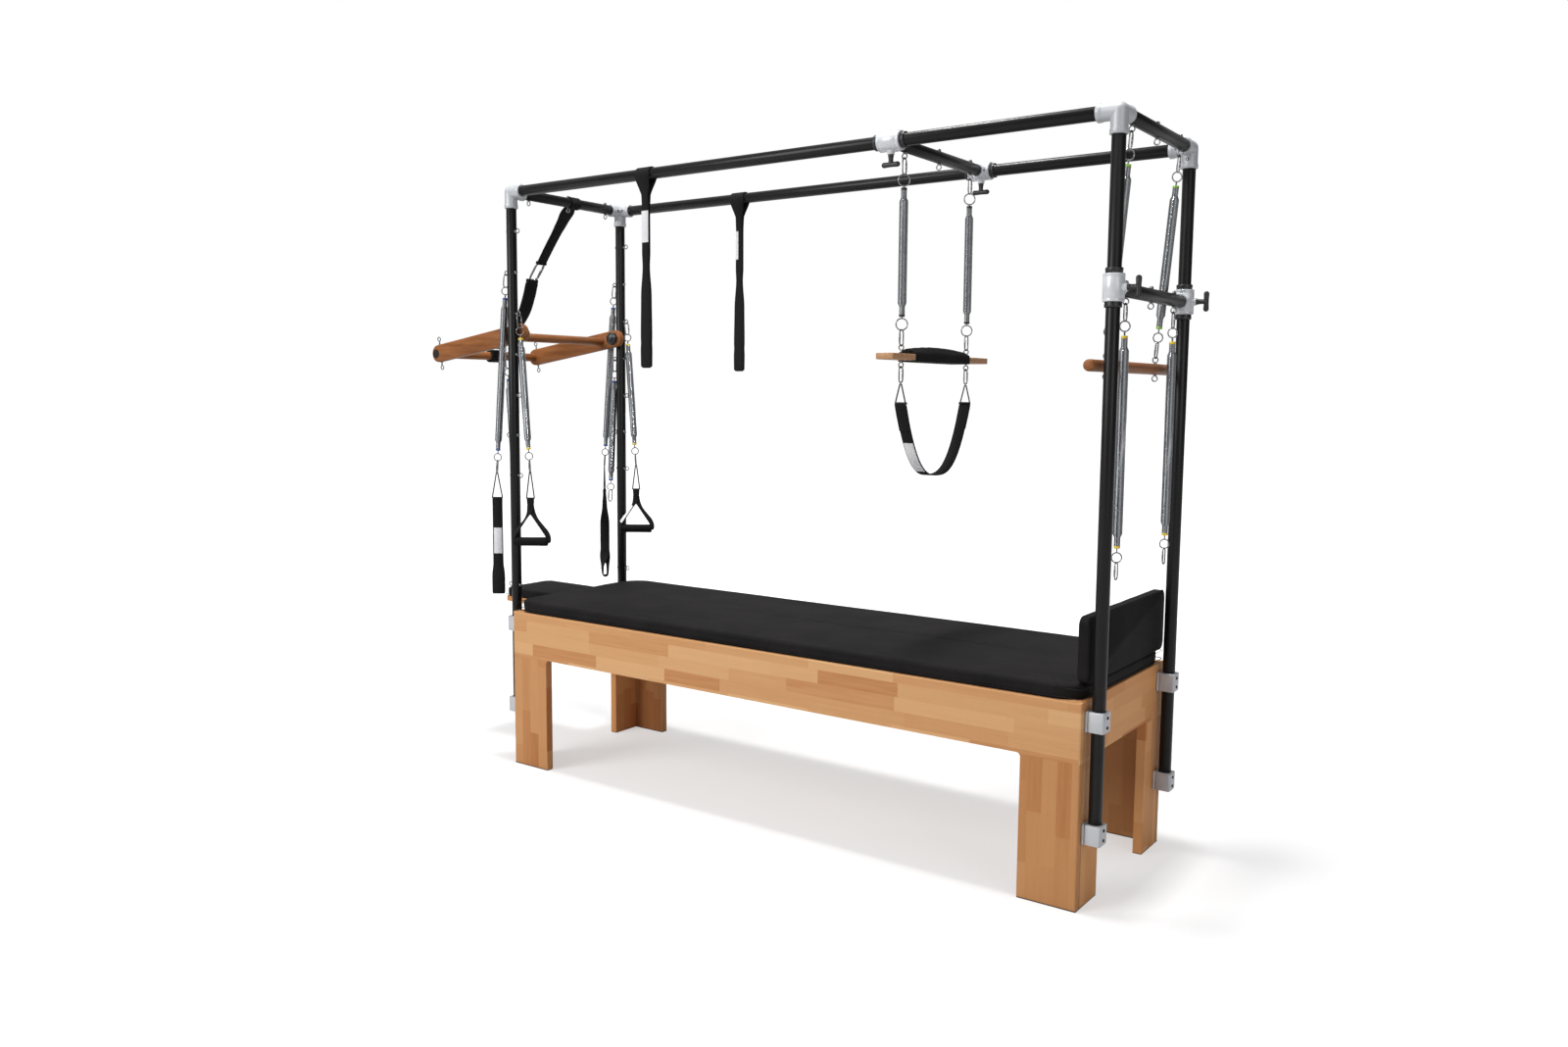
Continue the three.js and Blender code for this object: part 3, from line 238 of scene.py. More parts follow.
# %% [markdown]
# A finished piece is one object: its shapes are joined, turned from millimetres to metres and
# shaded smooth except where two faces meet at a clear edge. It is then tied to the body it moves
# with, and the measured nodes it stands for are hidden.
# %% Make a finished piece
def finished_piece(name, body, shapes, replaces=(), crease=50):
    """shapes is a list of (shape, finish); an edge sharper than crease degrees stays sharp."""
    verts, faces, finish_of_face, finishes = [], [], [], []
    for (shape_verts, shape_faces), finish in shapes:
        if finish not in finishes:
            finishes.append(finish)
        base = len(verts)
        verts.extend(table_point(*v) for v in shape_verts)
        faces.extend([i + base for i in face] for face in shape_faces)
        finish_of_face.extend([finishes.index(finish)] * len(shape_faces))
    mesh = bpy.data.meshes.new(name)
    mesh.from_pydata(verts, [], faces)
    for finish in finishes:
        mesh.materials.append(finish)
    mesh.polygons.foreach_set("material_index", finish_of_face)
    mesh.polygons.foreach_set("use_smooth", [True] * len(faces))
    shell = bmesh.new()
    shell.from_mesh(mesh)
    bmesh.ops.recalc_face_normals(shell, faces=shell.faces)
    shell.to_mesh(mesh)
    shell.free()
    mesh.set_sharp_from_angle(angle=math.radians(crease))
    piece = bpy.data.objects.new(name, mesh)
    bpy.context.scene.collection.objects.link(piece)
    if body:
        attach(piece, body)
    if replaces:
        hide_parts(*replaces)
    return piece


# %% [markdown]
# ## Finishes
# Every finish is made of shader nodes that follow the object's own coordinates, so grain, weave and
# mottling stay on the part when it moves. Colours are written as the photograph's 0-255 values and
# turned into Blender's linear ones.
# %% Shader helpers
def colour(red, green, blue):
    """Linear colour of a 0-255 screen colour."""
    return tuple((c / 255 / 12.92) if c < 10.5 else ((c / 255 + 0.055) / 1.055) ** 2.4
                 for c in (red, green, blue)) + (1.0,)


class Finish:
    """A material with its Principled shader and short ways to add and join nodes."""

    def __init__(self, name, base, roughness, metallic=0.0, specular=0.5, coat=0.0):
        self.material = bpy.data.materials.new(name)
        self.material.use_nodes = True
        self.tree = self.material.node_tree
        self.shader = self.tree.nodes["Principled BSDF"]
        for socket, value in (("Base Color", base), ("Roughness", roughness),
                              ("Metallic", metallic), ("Specular IOR Level", specular),
                              ("Coat Weight", coat), ("Coat Roughness", 0.15)):
            self.shader.inputs[socket].default_value = value
        self.place = self.node("TexCoord").outputs["Object"]

    def node(self, kind, **settings):
        node = self.tree.nodes.new("ShaderNode" + kind)
        for key, value in settings.items():
            setattr(node, key, value)
        return node

    def join(self, source, target):
        self.tree.links.new(source, target)

    def maths(self, operation, a, b=None):
        node = self.node("Math", operation=operation)
        for socket, value in zip(node.inputs, (a, b)):
            if isinstance(value, (int, float)):
                socket.default_value = value
            elif value is not None:
                self.join(value, socket)
        return node.outputs[0]

    def stretched(self, x, y, z):
        """Object coordinates scaled on each axis."""
        node = self.node("Mapping")
        node.inputs["Scale"].default_value = (x, y, z)
        self.join(self.place, node.inputs["Vector"])
        return node.outputs[0]

    def noise(self, vector, scale=1.0, detail=4.0, roughness=0.55):
        node = self.node("TexNoise")
        self.join(vector, node.inputs["Vector"])
        for socket, value in (("Scale", scale), ("Detail", detail), ("Roughness", roughness)):
            node.inputs[socket].default_value = value
        return node.outputs["Fac"]

    def ramp(self, value, stops, target="Base Color"):
        """A colour ramp from value, led into the shader or given back when target is None."""
        node = self.node("ValToRGB")
        while len(node.color_ramp.elements) < len(stops):
            node.color_ramp.elements.new(0.5)
        for element, (position, shade) in zip(node.color_ramp.elements, stops):
            element.position, element.color = position, shade
        self.join(value, node.inputs[0])
        if target:
            self.join(node.outputs[0], self.shader.inputs[target])
        return node.outputs[0]

    def spread(self, value, low, high, target="Roughness"):
        """Maps a 0-1 value to a range and leads it into the shader."""
        node = self.node("MapRange")
        self.join(value, node.inputs["Value"])
        node.inputs["To Min"].default_value, node.inputs["To Max"].default_value = low, high
        self.join(node.outputs[0], self.shader.inputs[target])

    def bump(self, height, distance, strength=1.0):
        node = self.node("Bump")
        node.inputs["Strength"].default_value = strength
        node.inputs["Distance"].default_value = distance
        self.join(height, node.inputs["Height"])
        self.join(node.outputs[0], self.shader.inputs["Normal"])


# %% [markdown]
# The bench is edge-glued beech: staves about 43 mm wide and 200 to 500 mm long, laid end to end,
# each with its own tone. They run along the rails and up the legs. A cell pattern along each row
# gives staves of uneven length, and its random value sets the tone and shifts the grain, so no
# stave continues its neighbour. A painted tint darkens the legs as painted shade, because their
# upright staves catch less light, and another warms the end panels as painted light for the light
# that falls on their faces.
# %% Beech staves
stave_width, stave_length = 0.0432, 0.33
grain_along, grain_across = 5.0, 95.0
fleck_along, fleck_across = 160.0, 900.0


def beech_staves(name, leg_top=None, painted_light_tint=(1, 1, 1), painted_leg_shade=(1, 1, 1)):
    """Upright panels turn their staves below leg_top; without it the board lies flat."""
    wood = Finish(name, colour(201, 152, 107), 0.5, specular=0.16)
    split = wood.node("SeparateXYZ")
    wood.join(wood.place, split.inputs[0])
    along, across = split.outputs["X"], split.outputs["Y"]
    if leg_top:
        level = wood.maths("ADD", split.outputs["X"], split.outputs["Y"])
        height = split.outputs["Z"]
        leg = wood.maths("LESS_THAN", height, leg_top)
        directions = []
        for first, second in ((level, height), (height, level)):
            mix = wood.node("Mix")
            wood.join(leg, mix.inputs["Factor"])
            wood.join(first, mix.inputs["A"])
            wood.join(second, mix.inputs["B"])
            directions.append(mix.outputs["Result"])
        along, across = directions
    row = wood.maths("FLOOR", wood.maths("DIVIDE", across, stave_width))
    chance = wood.node("TexWhiteNoise", noise_dimensions="1D")
    wood.join(row, chance.inputs["W"])
    shift = wood.maths("MULTIPLY", chance.outputs["Value"], 31.0)
    cell = wood.node("TexVoronoi", voronoi_dimensions="1D")
    cell.inputs["Scale"].default_value = 1.0
    wood.join(wood.maths("ADD", wood.maths("DIVIDE", along, stave_length), shift),
              cell.inputs["W"])
    tone_split = wood.node("SeparateColor")
    wood.join(cell.outputs["Color"], tone_split.inputs[0])
    tone = tone_split.outputs[0]
    grain_place = wood.node("CombineXYZ")
    wood.join(wood.maths("MULTIPLY", along, grain_along), grain_place.inputs["X"])
    wood.join(wood.maths("MULTIPLY", across, grain_across), grain_place.inputs["Y"])
    wood.join(wood.maths("MULTIPLY", tone, 40.0), grain_place.inputs["Z"])
    grain = wood.noise(grain_place.outputs[0], 1.0, 6.0, 0.6)
    fleck_place = wood.node("CombineXYZ")
    wood.join(wood.maths("MULTIPLY", along, fleck_along), fleck_place.inputs["X"])
    wood.join(wood.maths("MULTIPLY", across, fleck_across), fleck_place.inputs["Y"])
    flecks = wood.noise(fleck_place.outputs[0], 1.0, 1.0)
    mixed = wood.maths("ADD", wood.maths("MULTIPLY", tone, 0.62),
                       wood.maths("MULTIPLY", grain, 0.38))
    shaded = wood.ramp(mixed, [(0.14, colour(184, 126, 80)), (0.28, colour(197, 144, 96)),
                               (0.50, colour(205, 156, 108)), (0.85, colour(214, 168, 120))], None)
    speckle = wood.ramp(flecks, [(0.60, (1, 1, 1, 1)), (0.80, (0.78, 0.70, 0.62, 1))], None)
    blend = wood.node("MixRGB", blend_type="MULTIPLY")
    blend.inputs[0].default_value = 0.55
    wood.join(shaded, blend.inputs[1])
    wood.join(speckle, blend.inputs[2])
    wood_colour = blend.outputs[0]
    # painted light and shade: one tint over the whole board for the light on its faces, and a
    # darker one on the legs as painted shade
    for share, painted_light_colour in ((None, painted_light_tint), (leg if leg_top else None, painted_leg_shade)):
        if painted_light_colour == (1, 1, 1):
            continue
        painted_light_wash = wood.node("MixRGB", blend_type="MULTIPLY")
        painted_light_wash.inputs[0].default_value = 1.0
        if share:
            wood.join(share, painted_light_wash.inputs[0])
        wood.join(wood_colour, painted_light_wash.inputs[1])
        painted_light_wash.inputs[2].default_value = (*painted_light_colour, 1)
        wood_colour = painted_light_wash.outputs[0]
    wood.join(wood_colour, wood.shader.inputs["Base Color"])
    wood.spread(grain, 0.45, 0.62)
    wood.bump(grain, 0.0004, 0.35)
    return wood.material


# %% [markdown]
# The arms, the dowels and the trapeze board are solid wood, so they need long grain without
# joints. Noise stretched along one axis gives it, and it moves colour, gloss and relief alike.
# %% Plain wood of the bars and the trapeze board
def plain_wood(name, dark, light, scale, roughness=0.4):
    """Long grain that runs where the scale is small."""
    wood = Finish(name, colour(*light), roughness, specular=0.2)
    grain = wood.noise(wood.stretched(*scale), 1.0, 7.0, 0.62)
    middle = [(a + b) / 2 for a, b in zip(dark, light)]
    wood.ramp(grain, [(0.25, colour(*dark)), (0.5, colour(*middle)), (0.75, colour(*light))])
    wood.spread(grain, roughness - 0.07, roughness + 0.1)
    wood.bump(grain, 0.0003, 0.4)
    return wood.material


# %% [markdown]
# Paint, cast metal, plastic and bright steel differ in colour, gloss and in how fine their surface
# mottling is. One recipe covers them: noise moves the colour and the roughness a little and lifts
# the surface by a few hundredths of a millimetre.
# %% Mottled finishes
def mottled(name, dark, light, roughness, grain=400.0, depth=0.00005, metallic=0.0, specular=0.5,
            coat=0.0, swing=0.08):
    finish = Finish(name, colour(*light), roughness, metallic, specular, coat)
    texture = finish.noise(finish.stretched(grain, grain, grain), 1.0, 3.0)
    broad = finish.noise(finish.stretched(14, 14, 14), 1.0, 2.0)
    blend = finish.maths("ADD", finish.maths("MULTIPLY", texture, 0.5),
                         finish.maths("MULTIPLY", broad, 0.5))
    finish.ramp(blend, [(0.35, colour(*dark)), (0.65, colour(*light))])
    finish.spread(blend, roughness - swing, roughness + swing)
    finish.bump(texture, depth, 0.6)
    return finish.material


# %% [markdown]
# The cushions wear matt black vinyl. Its leather grain is a fine cell pattern, and slow waves under
# it stand for the foam, so that a wide flat mat doesn't look like a sheet of plastic.
# %% Upholstery vinyl
def vinyl(name, dark, light, roughness=0.5):
    """Black upholstery vinyl: fine leather grain over slow, shallow waves of the foam."""
    skin_finish = Finish(name, colour(*light), roughness, specular=0.08)
    pebbles = skin_finish.node("TexVoronoi", feature="DISTANCE_TO_EDGE")
    skin_finish.join(skin_finish.stretched(750, 750, 750), pebbles.inputs["Vector"])
    waves = skin_finish.noise(skin_finish.stretched(7, 9, 7), 1.0, 2.0)
    fine = skin_finish.noise(skin_finish.stretched(260, 260, 260), 1.0, 3.0)
    skin_finish.ramp(waves, [(0.3, colour(*dark)), (0.7, colour(*light))])
    skin_finish.spread(fine, roughness - 0.08, roughness + 0.12)
    lift = skin_finish.maths("ADD", skin_finish.maths("MULTIPLY", waves, 14.0),
                             skin_finish.maths("ADD", pebbles.outputs["Distance"],
                                               skin_finish.maths("MULTIPLY", fine, 0.4)))
    skin_finish.bump(lift, 0.00018, 0.5)
    return skin_finish.material


# %% [markdown]
# Straps are woven nylon. Two wave patterns, one across the strap and one diagonal, give ribs and
# twill, which is lighter than modelling threads and reads the same from an arm's length.
# %% Webbing
def webbing(name, dark, light, pitch=900.0):
    """Woven strap: fine ribs across it and a diagonal ripple, almost black."""
    weave = Finish(name, colour(*light), 0.9, specular=0.12)
    ribs = weave.node("TexWave", bands_direction="Z")
    weave.join(weave.stretched(pitch / 9, pitch / 9, pitch / 3), ribs.inputs["Vector"])
    twill = weave.node("TexWave", bands_direction="DIAGONAL")
    weave.join(weave.stretched(pitch / 5, pitch / 5, pitch / 5), twill.inputs["Vector"])
    fuzz = weave.noise(weave.stretched(500, 500, 500), 1.0, 3.0)
    cloth = weave.maths("ADD", weave.maths("MULTIPLY", ribs.outputs["Fac"], 0.4),
                        weave.maths("ADD", weave.maths("MULTIPLY", twill.outputs["Fac"], 0.25),
                                    weave.maths("MULTIPLY", fuzz, 0.35)))
    weave.ramp(cloth, [(0.2, colour(*dark)), (0.8, colour(*light))])
    weave.bump(cloth, 0.0004, 0.7)
    return weave.material


# %% [markdown]
# All finishes of the table are mixed here, each with a dark and a light tone read off the
# photograph. Steel is the only true metal; castings and sleeves are painted, so they stay pale
# under any light instead of mirroring it.
# %% Mix the finishes of this table
leg_staves_top = 0.4195
# painted shade darkens the legs of the side panels; painted light warms and brightens the end
# panels
side_beech = beech_staves("side_beech_staves", leg_staves_top, painted_leg_shade=(0.83, 0.73, 0.65))
end_beech = beech_staves("end_beech_staves", leg_staves_top, painted_light_tint=(1.12, 0.98, 0.84))
shelf_beech = beech_staves("shelf_beech")
bar_wood = plain_wood("oiled_bar_wood", (112, 65, 31), (158, 102, 58), (5, 50, 60))
dowel_wood = plain_wood("oiled_dowel_wood", (116, 70, 38), (160, 104, 62), (60, 5, 60))
board_wood = plain_wood("pale_board_wood", (166, 119, 81), (198, 157, 119), (60, 5, 80))
upholstery = vinyl("black_vinyl", (24, 23, 23), (31, 29, 29), 0.7)
piping = vinyl("black_piping", (24, 23, 23), (32, 31, 31), 0.5)
tube_paint = mottled("black_tube_paint", (21, 20, 20), (27, 26, 26), 0.33, 900, 0.00001, 0.0, 0.2)
cast_metal = mottled("silver_cast_metal", (178, 180, 184), (192, 194, 198), 0.42, 600, 0.00003, 0.1)
clamp_metal = mottled("pale_clamp_metal", (184, 186, 190), (198, 200, 204), 0.38, 500, 0.00003, 0.1)
sleeve_paint = mottled("grey_sleeve_paint", (204, 206, 210), (217, 219, 223), 0.28, 700, 0.00001,
                       0.05, 0.5, 0.2)
black_plastic = mottled("black_plastic", (18, 18, 18), (30, 30, 31), 0.42, 900, 0.00004)
bright_steel = mottled("bright_steel", (112, 113, 115), (140, 141, 143), 0.18, 300, 0.000004, 1.0)
coil_steel = mottled("wound_spring_steel", (140, 142, 145), (154, 156, 159), 0.2, 300, 0.000002,
                     1.0, swing=0.03)
dark_bolt = mottled("black_oxide_bolt", (18, 18, 19), (30, 30, 31), 0.5, 500, 0.00002, 0.0, 0.25)
dark_foot_strip = mottled("dark_foot_strip", (28, 24, 22), (44, 38, 34), 0.8, 300, 0.0001)
strap_cloth = webbing("black_webbing", (20, 20, 20), (38, 38, 38))
label_cloth = mottled("blank_label_cloth", (214, 214, 216), (236, 236, 238), 0.8, 900, 0.00008)
grip_foam = mottled("grip_foam", (11, 11, 11), (20, 20, 20), 0.85, 700, 0.0002, 0.0, 0.15)
collar_finish = {
    "blue": mottled("blue_cap", (36, 70, 140), (58, 98, 176), 0.35, 500),
    "yellow": mottled("yellow_cap", (222, 190, 44), (242, 214, 76), 0.35, 500),
    "green": mottled("green_cap", (122, 172, 62), (150, 198, 84), 0.35, 500),
    "black": mottled("black_cap", (20, 20, 20), (34, 34, 34), 0.35, 500),
}
print(len(bpy.data.materials), "finishes")

# %% [markdown]
# ## Bench
# The bench is a plain open box of 28 mm beech panels with one wide leg opening in each side. Its
# panels are kept exactly as measured, because their flat faces and rounded edges are already the
# real ones; only the stave finish is added. Thin dark strips, a little proud of the panels, run
# round the foot of each leg.
# %% Dress the bench
for name in ("side_panel_near", "side_panel_far"):
    nodes[name].data.materials[0] = side_beech
for name in ("end_panel_left", "end_panel_right"):
    nodes[name].data.materials[0] = end_beech
for name in ("top_deck", "extension_board"):
    nodes[name].data.materials[0] = shelf_beech
bench_x, bench_y, panel, side_leg, end_leg = 1135, 339.5, 28, 177, 150
strip_height, strip_lip = 2.5, 0.6
foot_strips = []
for wx in (-1, 1):
    for wy in (-1, 1):
        for size, x, y in (((side_leg, panel), bench_x - side_leg / 2, bench_y - panel / 2),
                           ((panel, end_leg), bench_x - panel / 2, bench_y - end_leg / 2)):
            # a dark strip, 2.5 mm high, round the foot of each leg
            block = rounded_block((size[0] + strip_lip, size[1] + strip_lip, strip_height), 2)
            foot_strips.append((moved(block, wx * x, wy * y, 0), dark_foot_strip))
finished_piece("leg_foot_strips", "table", foot_strips)
print("bench dressed,", len(foot_strips), "glide strips")

# %% [markdown]
# ## Cushions
# Each cushion is foam under stretched vinyl: straight boxed sides, a rounded top edge, a slow crown
# and faint puckers where the cover is pulled over the edge. Rings of one rounded outline are drawn
# in at the foot and rise to the crown, and a little smooth noise pulls them about by a millimetre.
# %% Shape a boxed cushion
def cushion_outline(half_length, half_width, radius, height, spacing):
    """Points round a rounded rectangle, spaced evenly along its straight sides."""
    ring = []
    corners = ((1, 1), (-1, 1), (-1, -1), (1, -1))
    for corner, (wx, wy) in enumerate(corners):
        for k in range(7):
            angle = math.pi / 2 * (corner + k / 6)
            ring.append(Vector((wx * (half_length - radius) + radius * math.cos(angle),
                                wy * (half_width - radius) + radius * math.sin(angle), height)))
        nx, ny = corners[(corner + 1) % 4]
        end = Vector((nx * (half_length - radius), ny * (half_width - radius), height))
        end += Vector((math.cos(angle), math.sin(angle), 0)) * radius
        count = spacing[corner % 2]
        ring.extend(ring[-1].lerp(end, (k + 1) / (count + 1)) for k in range(count))
    return ring


def boxed_cushion(length, width, thickness, crown, wrinkle, corner=16, edge=9, draw_in=3, seed=0):
    """A cushion lying on zero with its crown up."""
    half_length, half_width = length / 2, width / 2
    spacing = (max(4, int(length / 26)), max(4, int(width / 26)))
    levels = [(draw_in + 2, 0), (draw_in, 1), (draw_in * 0.5, thickness * 0.2),
              (0, thickness * 0.45), (0.3, thickness * 0.7)]
    levels += [(edge * (1 - math.cos(a)), thickness - edge + edge * math.sin(a))
               for a in (math.pi / 2 * k / 6 for k in range(7))]
    reach = min(half_length, half_width) - edge
    for share in (0.015, 0.04, 0.08, 0.14, 0.22, 0.32, 0.44, 0.57, 0.7, 0.84, 0.98):
        levels.append((edge + reach * share, thickness + crown * (1 - (1 - share) ** 2)))
    rings = []
    for inset, height in levels:
        radius = max(corner - inset, (reach + edge - inset) / 4, 0.5)
        ring = cushion_outline(half_length - inset, half_width - inset, radius, height, spacing)
        on_side = min(1, height / thickness * 1.6) * max(0, 1 - max(0, inset - edge) / 30)
        for point in ring:
            if height <= 1:
                continue
            # puckers some 60 mm apart near the edge, and slow waves of 140 to 190 mm on top
            place = Vector((point.x / 62, point.y / 62, seed + point.z / 150))
            pucker = noise.noise(place) + 0.5 * noise.noise(place * 2.3)
            outward = Vector((point.x / half_length, point.y / half_width, 0)).normalized()
            point += outward * wrinkle * pucker * on_side * 0.8
            slow = noise.noise(Vector((point.x / 190, point.y / 140, seed + 7)))
            if inset > edge * 0.5:
                point.z += wrinkle * (0.8 * slow + 0.35 * pucker * max(0, 1 - inset / 90))
        rings.append(ring)
    return skin(rings)


def foot_line(length, width, corner, height):
    """The closed line round a cushion's side at the given height."""
    return cushion_outline(length / 2, width / 2, corner, height, (40, 14))


# %% [markdown]
# The mat covers the whole bench. Two thin seams run round its side, one near the foot and a fainter
# one near the top, so its boxed shape shows although it is black on black.
# %% Upholster the mat
bench_top = 591
cushion_foot = bench_top + 0.3
mat_size, mat_crown, mat_wrinkle = (2262, 671, 43), 6, 1.3
mat_lift = Matrix.Translation((0, 0, cushion_foot))
mat = boxed_cushion(*mat_size, mat_crown, mat_wrinkle)
mat_seams = [carried(foot_line(mat_size[0] + 0.6, mat_size[1] + 0.6, 16, h), circle(r, 6), True)
             for h, r in ((8, 1.3), (34, 0.9))]
mat_piece = finished_piece(
    "mat_cushion", "table",
    [(placed(mat, mat_lift), upholstery)] + [(placed(s, mat_lift), piping) for s in mat_seams],
    replaces=["mat"], crease=60)
print("mat", len(mat[0]), "points")

# %% [markdown]
# The end block stands on the mat at the right end, and the small pad lies on the board that reaches
# out at the left end. Both are the same boxed cushion with other sizes and another seed, so their
# puckers don't repeat those of the mat.
# %% Upholster the upright end block
block_size, block_x, block_foot = (188, 620, 34), 1138, 635.4
block_stand = (Matrix.Translation((block_x, 0, block_foot + block_size[0] / 2))
               @ Matrix.Rotation(-math.pi / 2, 4, "Y"))
block = boxed_cushion(*block_size, 4, 1.0, corner=14, edge=8, draw_in=1.5, seed=20)
block_seam = carried(foot_line(block_size[0] - 2, block_size[1] - 2, 14, 5), circle(1.3, 6), True)
end_block_piece = finished_piece(
    "end_block_cushion", "end_block",
    [(placed(block, block_stand), upholstery), (placed(block_seam, block_stand), piping)],
    replaces=["end_block"], crease=60)
print("end block", len(block[0]), "points")

# %% Upholster the extension pad
pad_left, pad_right = -1428, -1135.3
pad_length, pad_width = 292.7, 240
extension_lift = Matrix.Translation(((pad_left + pad_right) / 2, 0, cushion_foot))
extension = boxed_cushion(pad_length, pad_width, 36, 3, 0.9, seed=40)
extension_seam = carried(foot_line(pad_length + 0.4, pad_width + 0.4, 16, 7), circle(1.2, 6), True)
extension_piece = finished_piece(
    "extension_cushion", "table",
    [(placed(extension, extension_lift), upholstery),
     (placed(extension_seam, extension_lift), piping)],
    replaces=["extension_pad"], crease=60)
print("extension pad", len(extension[0]), "points")

# %% [markdown]
# ## Hardware
# The frame carries the same few fasteners over and over: eyebolts that springs hook on, nuts on the
# far side of the tube, snap links, rings and cap screws. Each is shaped once about its own origin
# and then placed, so all of them are alike, as bought parts are.
# %% Rounded lines, nuts, washers and eyebolts
def rounded_loop(corners, radius, steps=5):
    """A closed line through 3-D corners with rounded turns."""
    line = []
    for i, corner in enumerate(corners):
        corner = Vector(corner)
        before = (Vector(corners[i - 1]) - corner).normalized()
        after = (Vector(corners[(i + 1) % len(corners)]) - corner).normalized()
        angle = before.angle(after) / 2
        cut = radius / math.tan(angle)
        centre = corner + (before + after).normalized() * (radius / math.sin(angle))
        first, last = corner + before * cut - centre, corner + after * cut - centre
        for k in range(steps + 1):
            line.append(centre + first.slerp(last, k / steps))
    return line


def hex_nut(across=11.0, height=4.5):
    r = across / 2 / math.cos(math.pi / 6)
    return turned([(r - 0.8, 0), (r, 0.7), (r, height - 0.7), (r - 0.8, height)], 6)


def washer(radius=6.5, height=1.2):
    return turned([(radius - 0.3, 0), (radius, 0.3), (radius, height - 0.3),
                   (radius - 0.3, height)], 20)


eye_radius, eye_wire = 8, 2


def eyebolt(reach, face, back=None):
    """An eye at (0, 0, -reach) hanging from a face at -face; back is how far up its nut sits."""
    shapes = [wire_ring((0, 0, -reach), (0, 1, 0), eye_radius, eye_wire, 24, 8),
              rod((0, 0, -reach + eye_radius - 0.5), (0, 0, -face + 1), 3, 12, 0.3),
              moved(washer(), 0, 0, -face - 1.4)]
    if back is not None:
        shapes += [moved(washer(), 0, 0, back - 0.2), moved(hex_nut(), 0, 0, back + 1),
                   rod((0, 0, back), (0, 0, back + 7.5), 2.9, 12, 0.8)]
    return [(shape, bright_steel) for shape in shapes]


def place_all(shapes, matrix):
    return [(placed(shape, matrix), finish) for shape, finish in shapes]


def at(x, y, z):
    return Matrix.Translation((x, y, z))


def turn(degrees, axis):
    return Matrix.Rotation(math.radians(degrees), 4, axis)


# %% [markdown]
# A snap link is a long loop of round steel with a sprung gate in one side. The loop is one wire
# carried round two half circles, and the gate is a slightly thicker bar with a pin at each end.
# %% Snap links
link_drop, link_half, link_wire = 48.6, 10.8, 2.2


def snap_link():
    """A steel snap link in the YZ plane, its upper bar at the origin, with a gate on one side."""
    path = []
    for centre, start in ((-link_half, 0), (link_half - link_drop, 180)):
        for k in range(11):
            angle = math.radians(start + 18 * k)
            path.append((0, link_half * math.cos(angle), centre + link_half * math.sin(angle)))
    shapes = [carried(path, circle(link_wire, 8), True, up=(1, 0, 0))]
    gate_top, gate_foot = -link_half - 3, link_half - link_drop + 3
    shapes.append(rod((0, link_half, gate_top), (0, link_half, gate_foot), 2.9, 12, 0.8))
    for z in (gate_top + 3, gate_foot - 3):
        shapes.append(rod((-3.2, link_half, z), (3.2, link_half, z), 1.1, 8, 0.3))
    return [(shape, bright_steel) for shape in shapes]


link = snap_link()
print("snap link", sum(len(shape[0]) for shape, _ in link), "points")

# %% [markdown]
# ## Wound springs
# An exercise spring is 140 to 220 turns of thin wire wound tight, drawn in to a neck at both ends,
# where a coloured cap covers the hook. The real helix is modelled, because its fine ribs are what
# makes these springs glitter. Neighbouring turns touch, so a few sides on the wire are enough, and
# the wire is a little flatter outward than it is high, which keeps the ribs fine.
# %% Wind the coils
coil_radius, coil_wire, neck_radius, neck_length, shoulder = 13.6, 1.3, 9, 22, 13
rib_share = 0.62
end_length = 104.13


def wound_coil(length, steps=18, sides=6):
    """A coil hanging down from the origin."""
    turns = round(length / (2 * coil_wire))
    section, rings = [(a * rib_share, b) for a, b in circle(coil_wire, sides)], []
    for k in range(turns * steps + 1):
        drop = length * k / (turns * steps)
        share = min(max((min(drop, length - drop) - neck_length) / shoulder, 0), 1)
        share = share * share * (3 - 2 * share)
        radius = neck_radius + (coil_radius - neck_radius) * share - coil_wire * rib_share
        angle = 2 * math.pi * k / steps
        c, s = math.cos(angle), math.sin(angle)
        rings.append([((radius + a) * c, (radius + a) * s, -drop + b) for a, b in section])
    return skin(rings)


cap_drop, cap_height = 91.5, 7.5
coil_drop = cap_drop + cap_height - 0.3
spring_lengths = {"short": 393, "long": 556, "trapeze": 358}
coils = {kind: wound_coil(length + 2 * (end_length - coil_drop))
         for kind, length in spring_lengths.items()}
print({name: len(coil[0]) for name, coil in coils.items()}, "points in the coils")

# %% [markdown]
# Both ends of a spring carry the same things: a link on the eyebolt, a ring in the link, and a wire
# hook from the ring into the cap. They are built once for the upper end and turned over for the
# lower one; the rings face the same way at both ends, so they are placed apart.
# %% Put caps, rings and links on a spring
hook_drop, ring_wire = 4.63, 2


def spring_drop(kind):
    """From the eye that a spring hangs in down to the point below its lower link's bar."""
    return 2 * end_length + spring_lengths[kind]


def spring_cap():
    """The thin moulded cap that closes a coil's neck; its colour tells how strong the spring is."""
    return turned([(3.5, 0), (7.2, 0), (8.6, -0.9), (9.3, -2.4), (9.3, -6.4), (8.7, -cap_height),
                   (6, -cap_height)], 24)


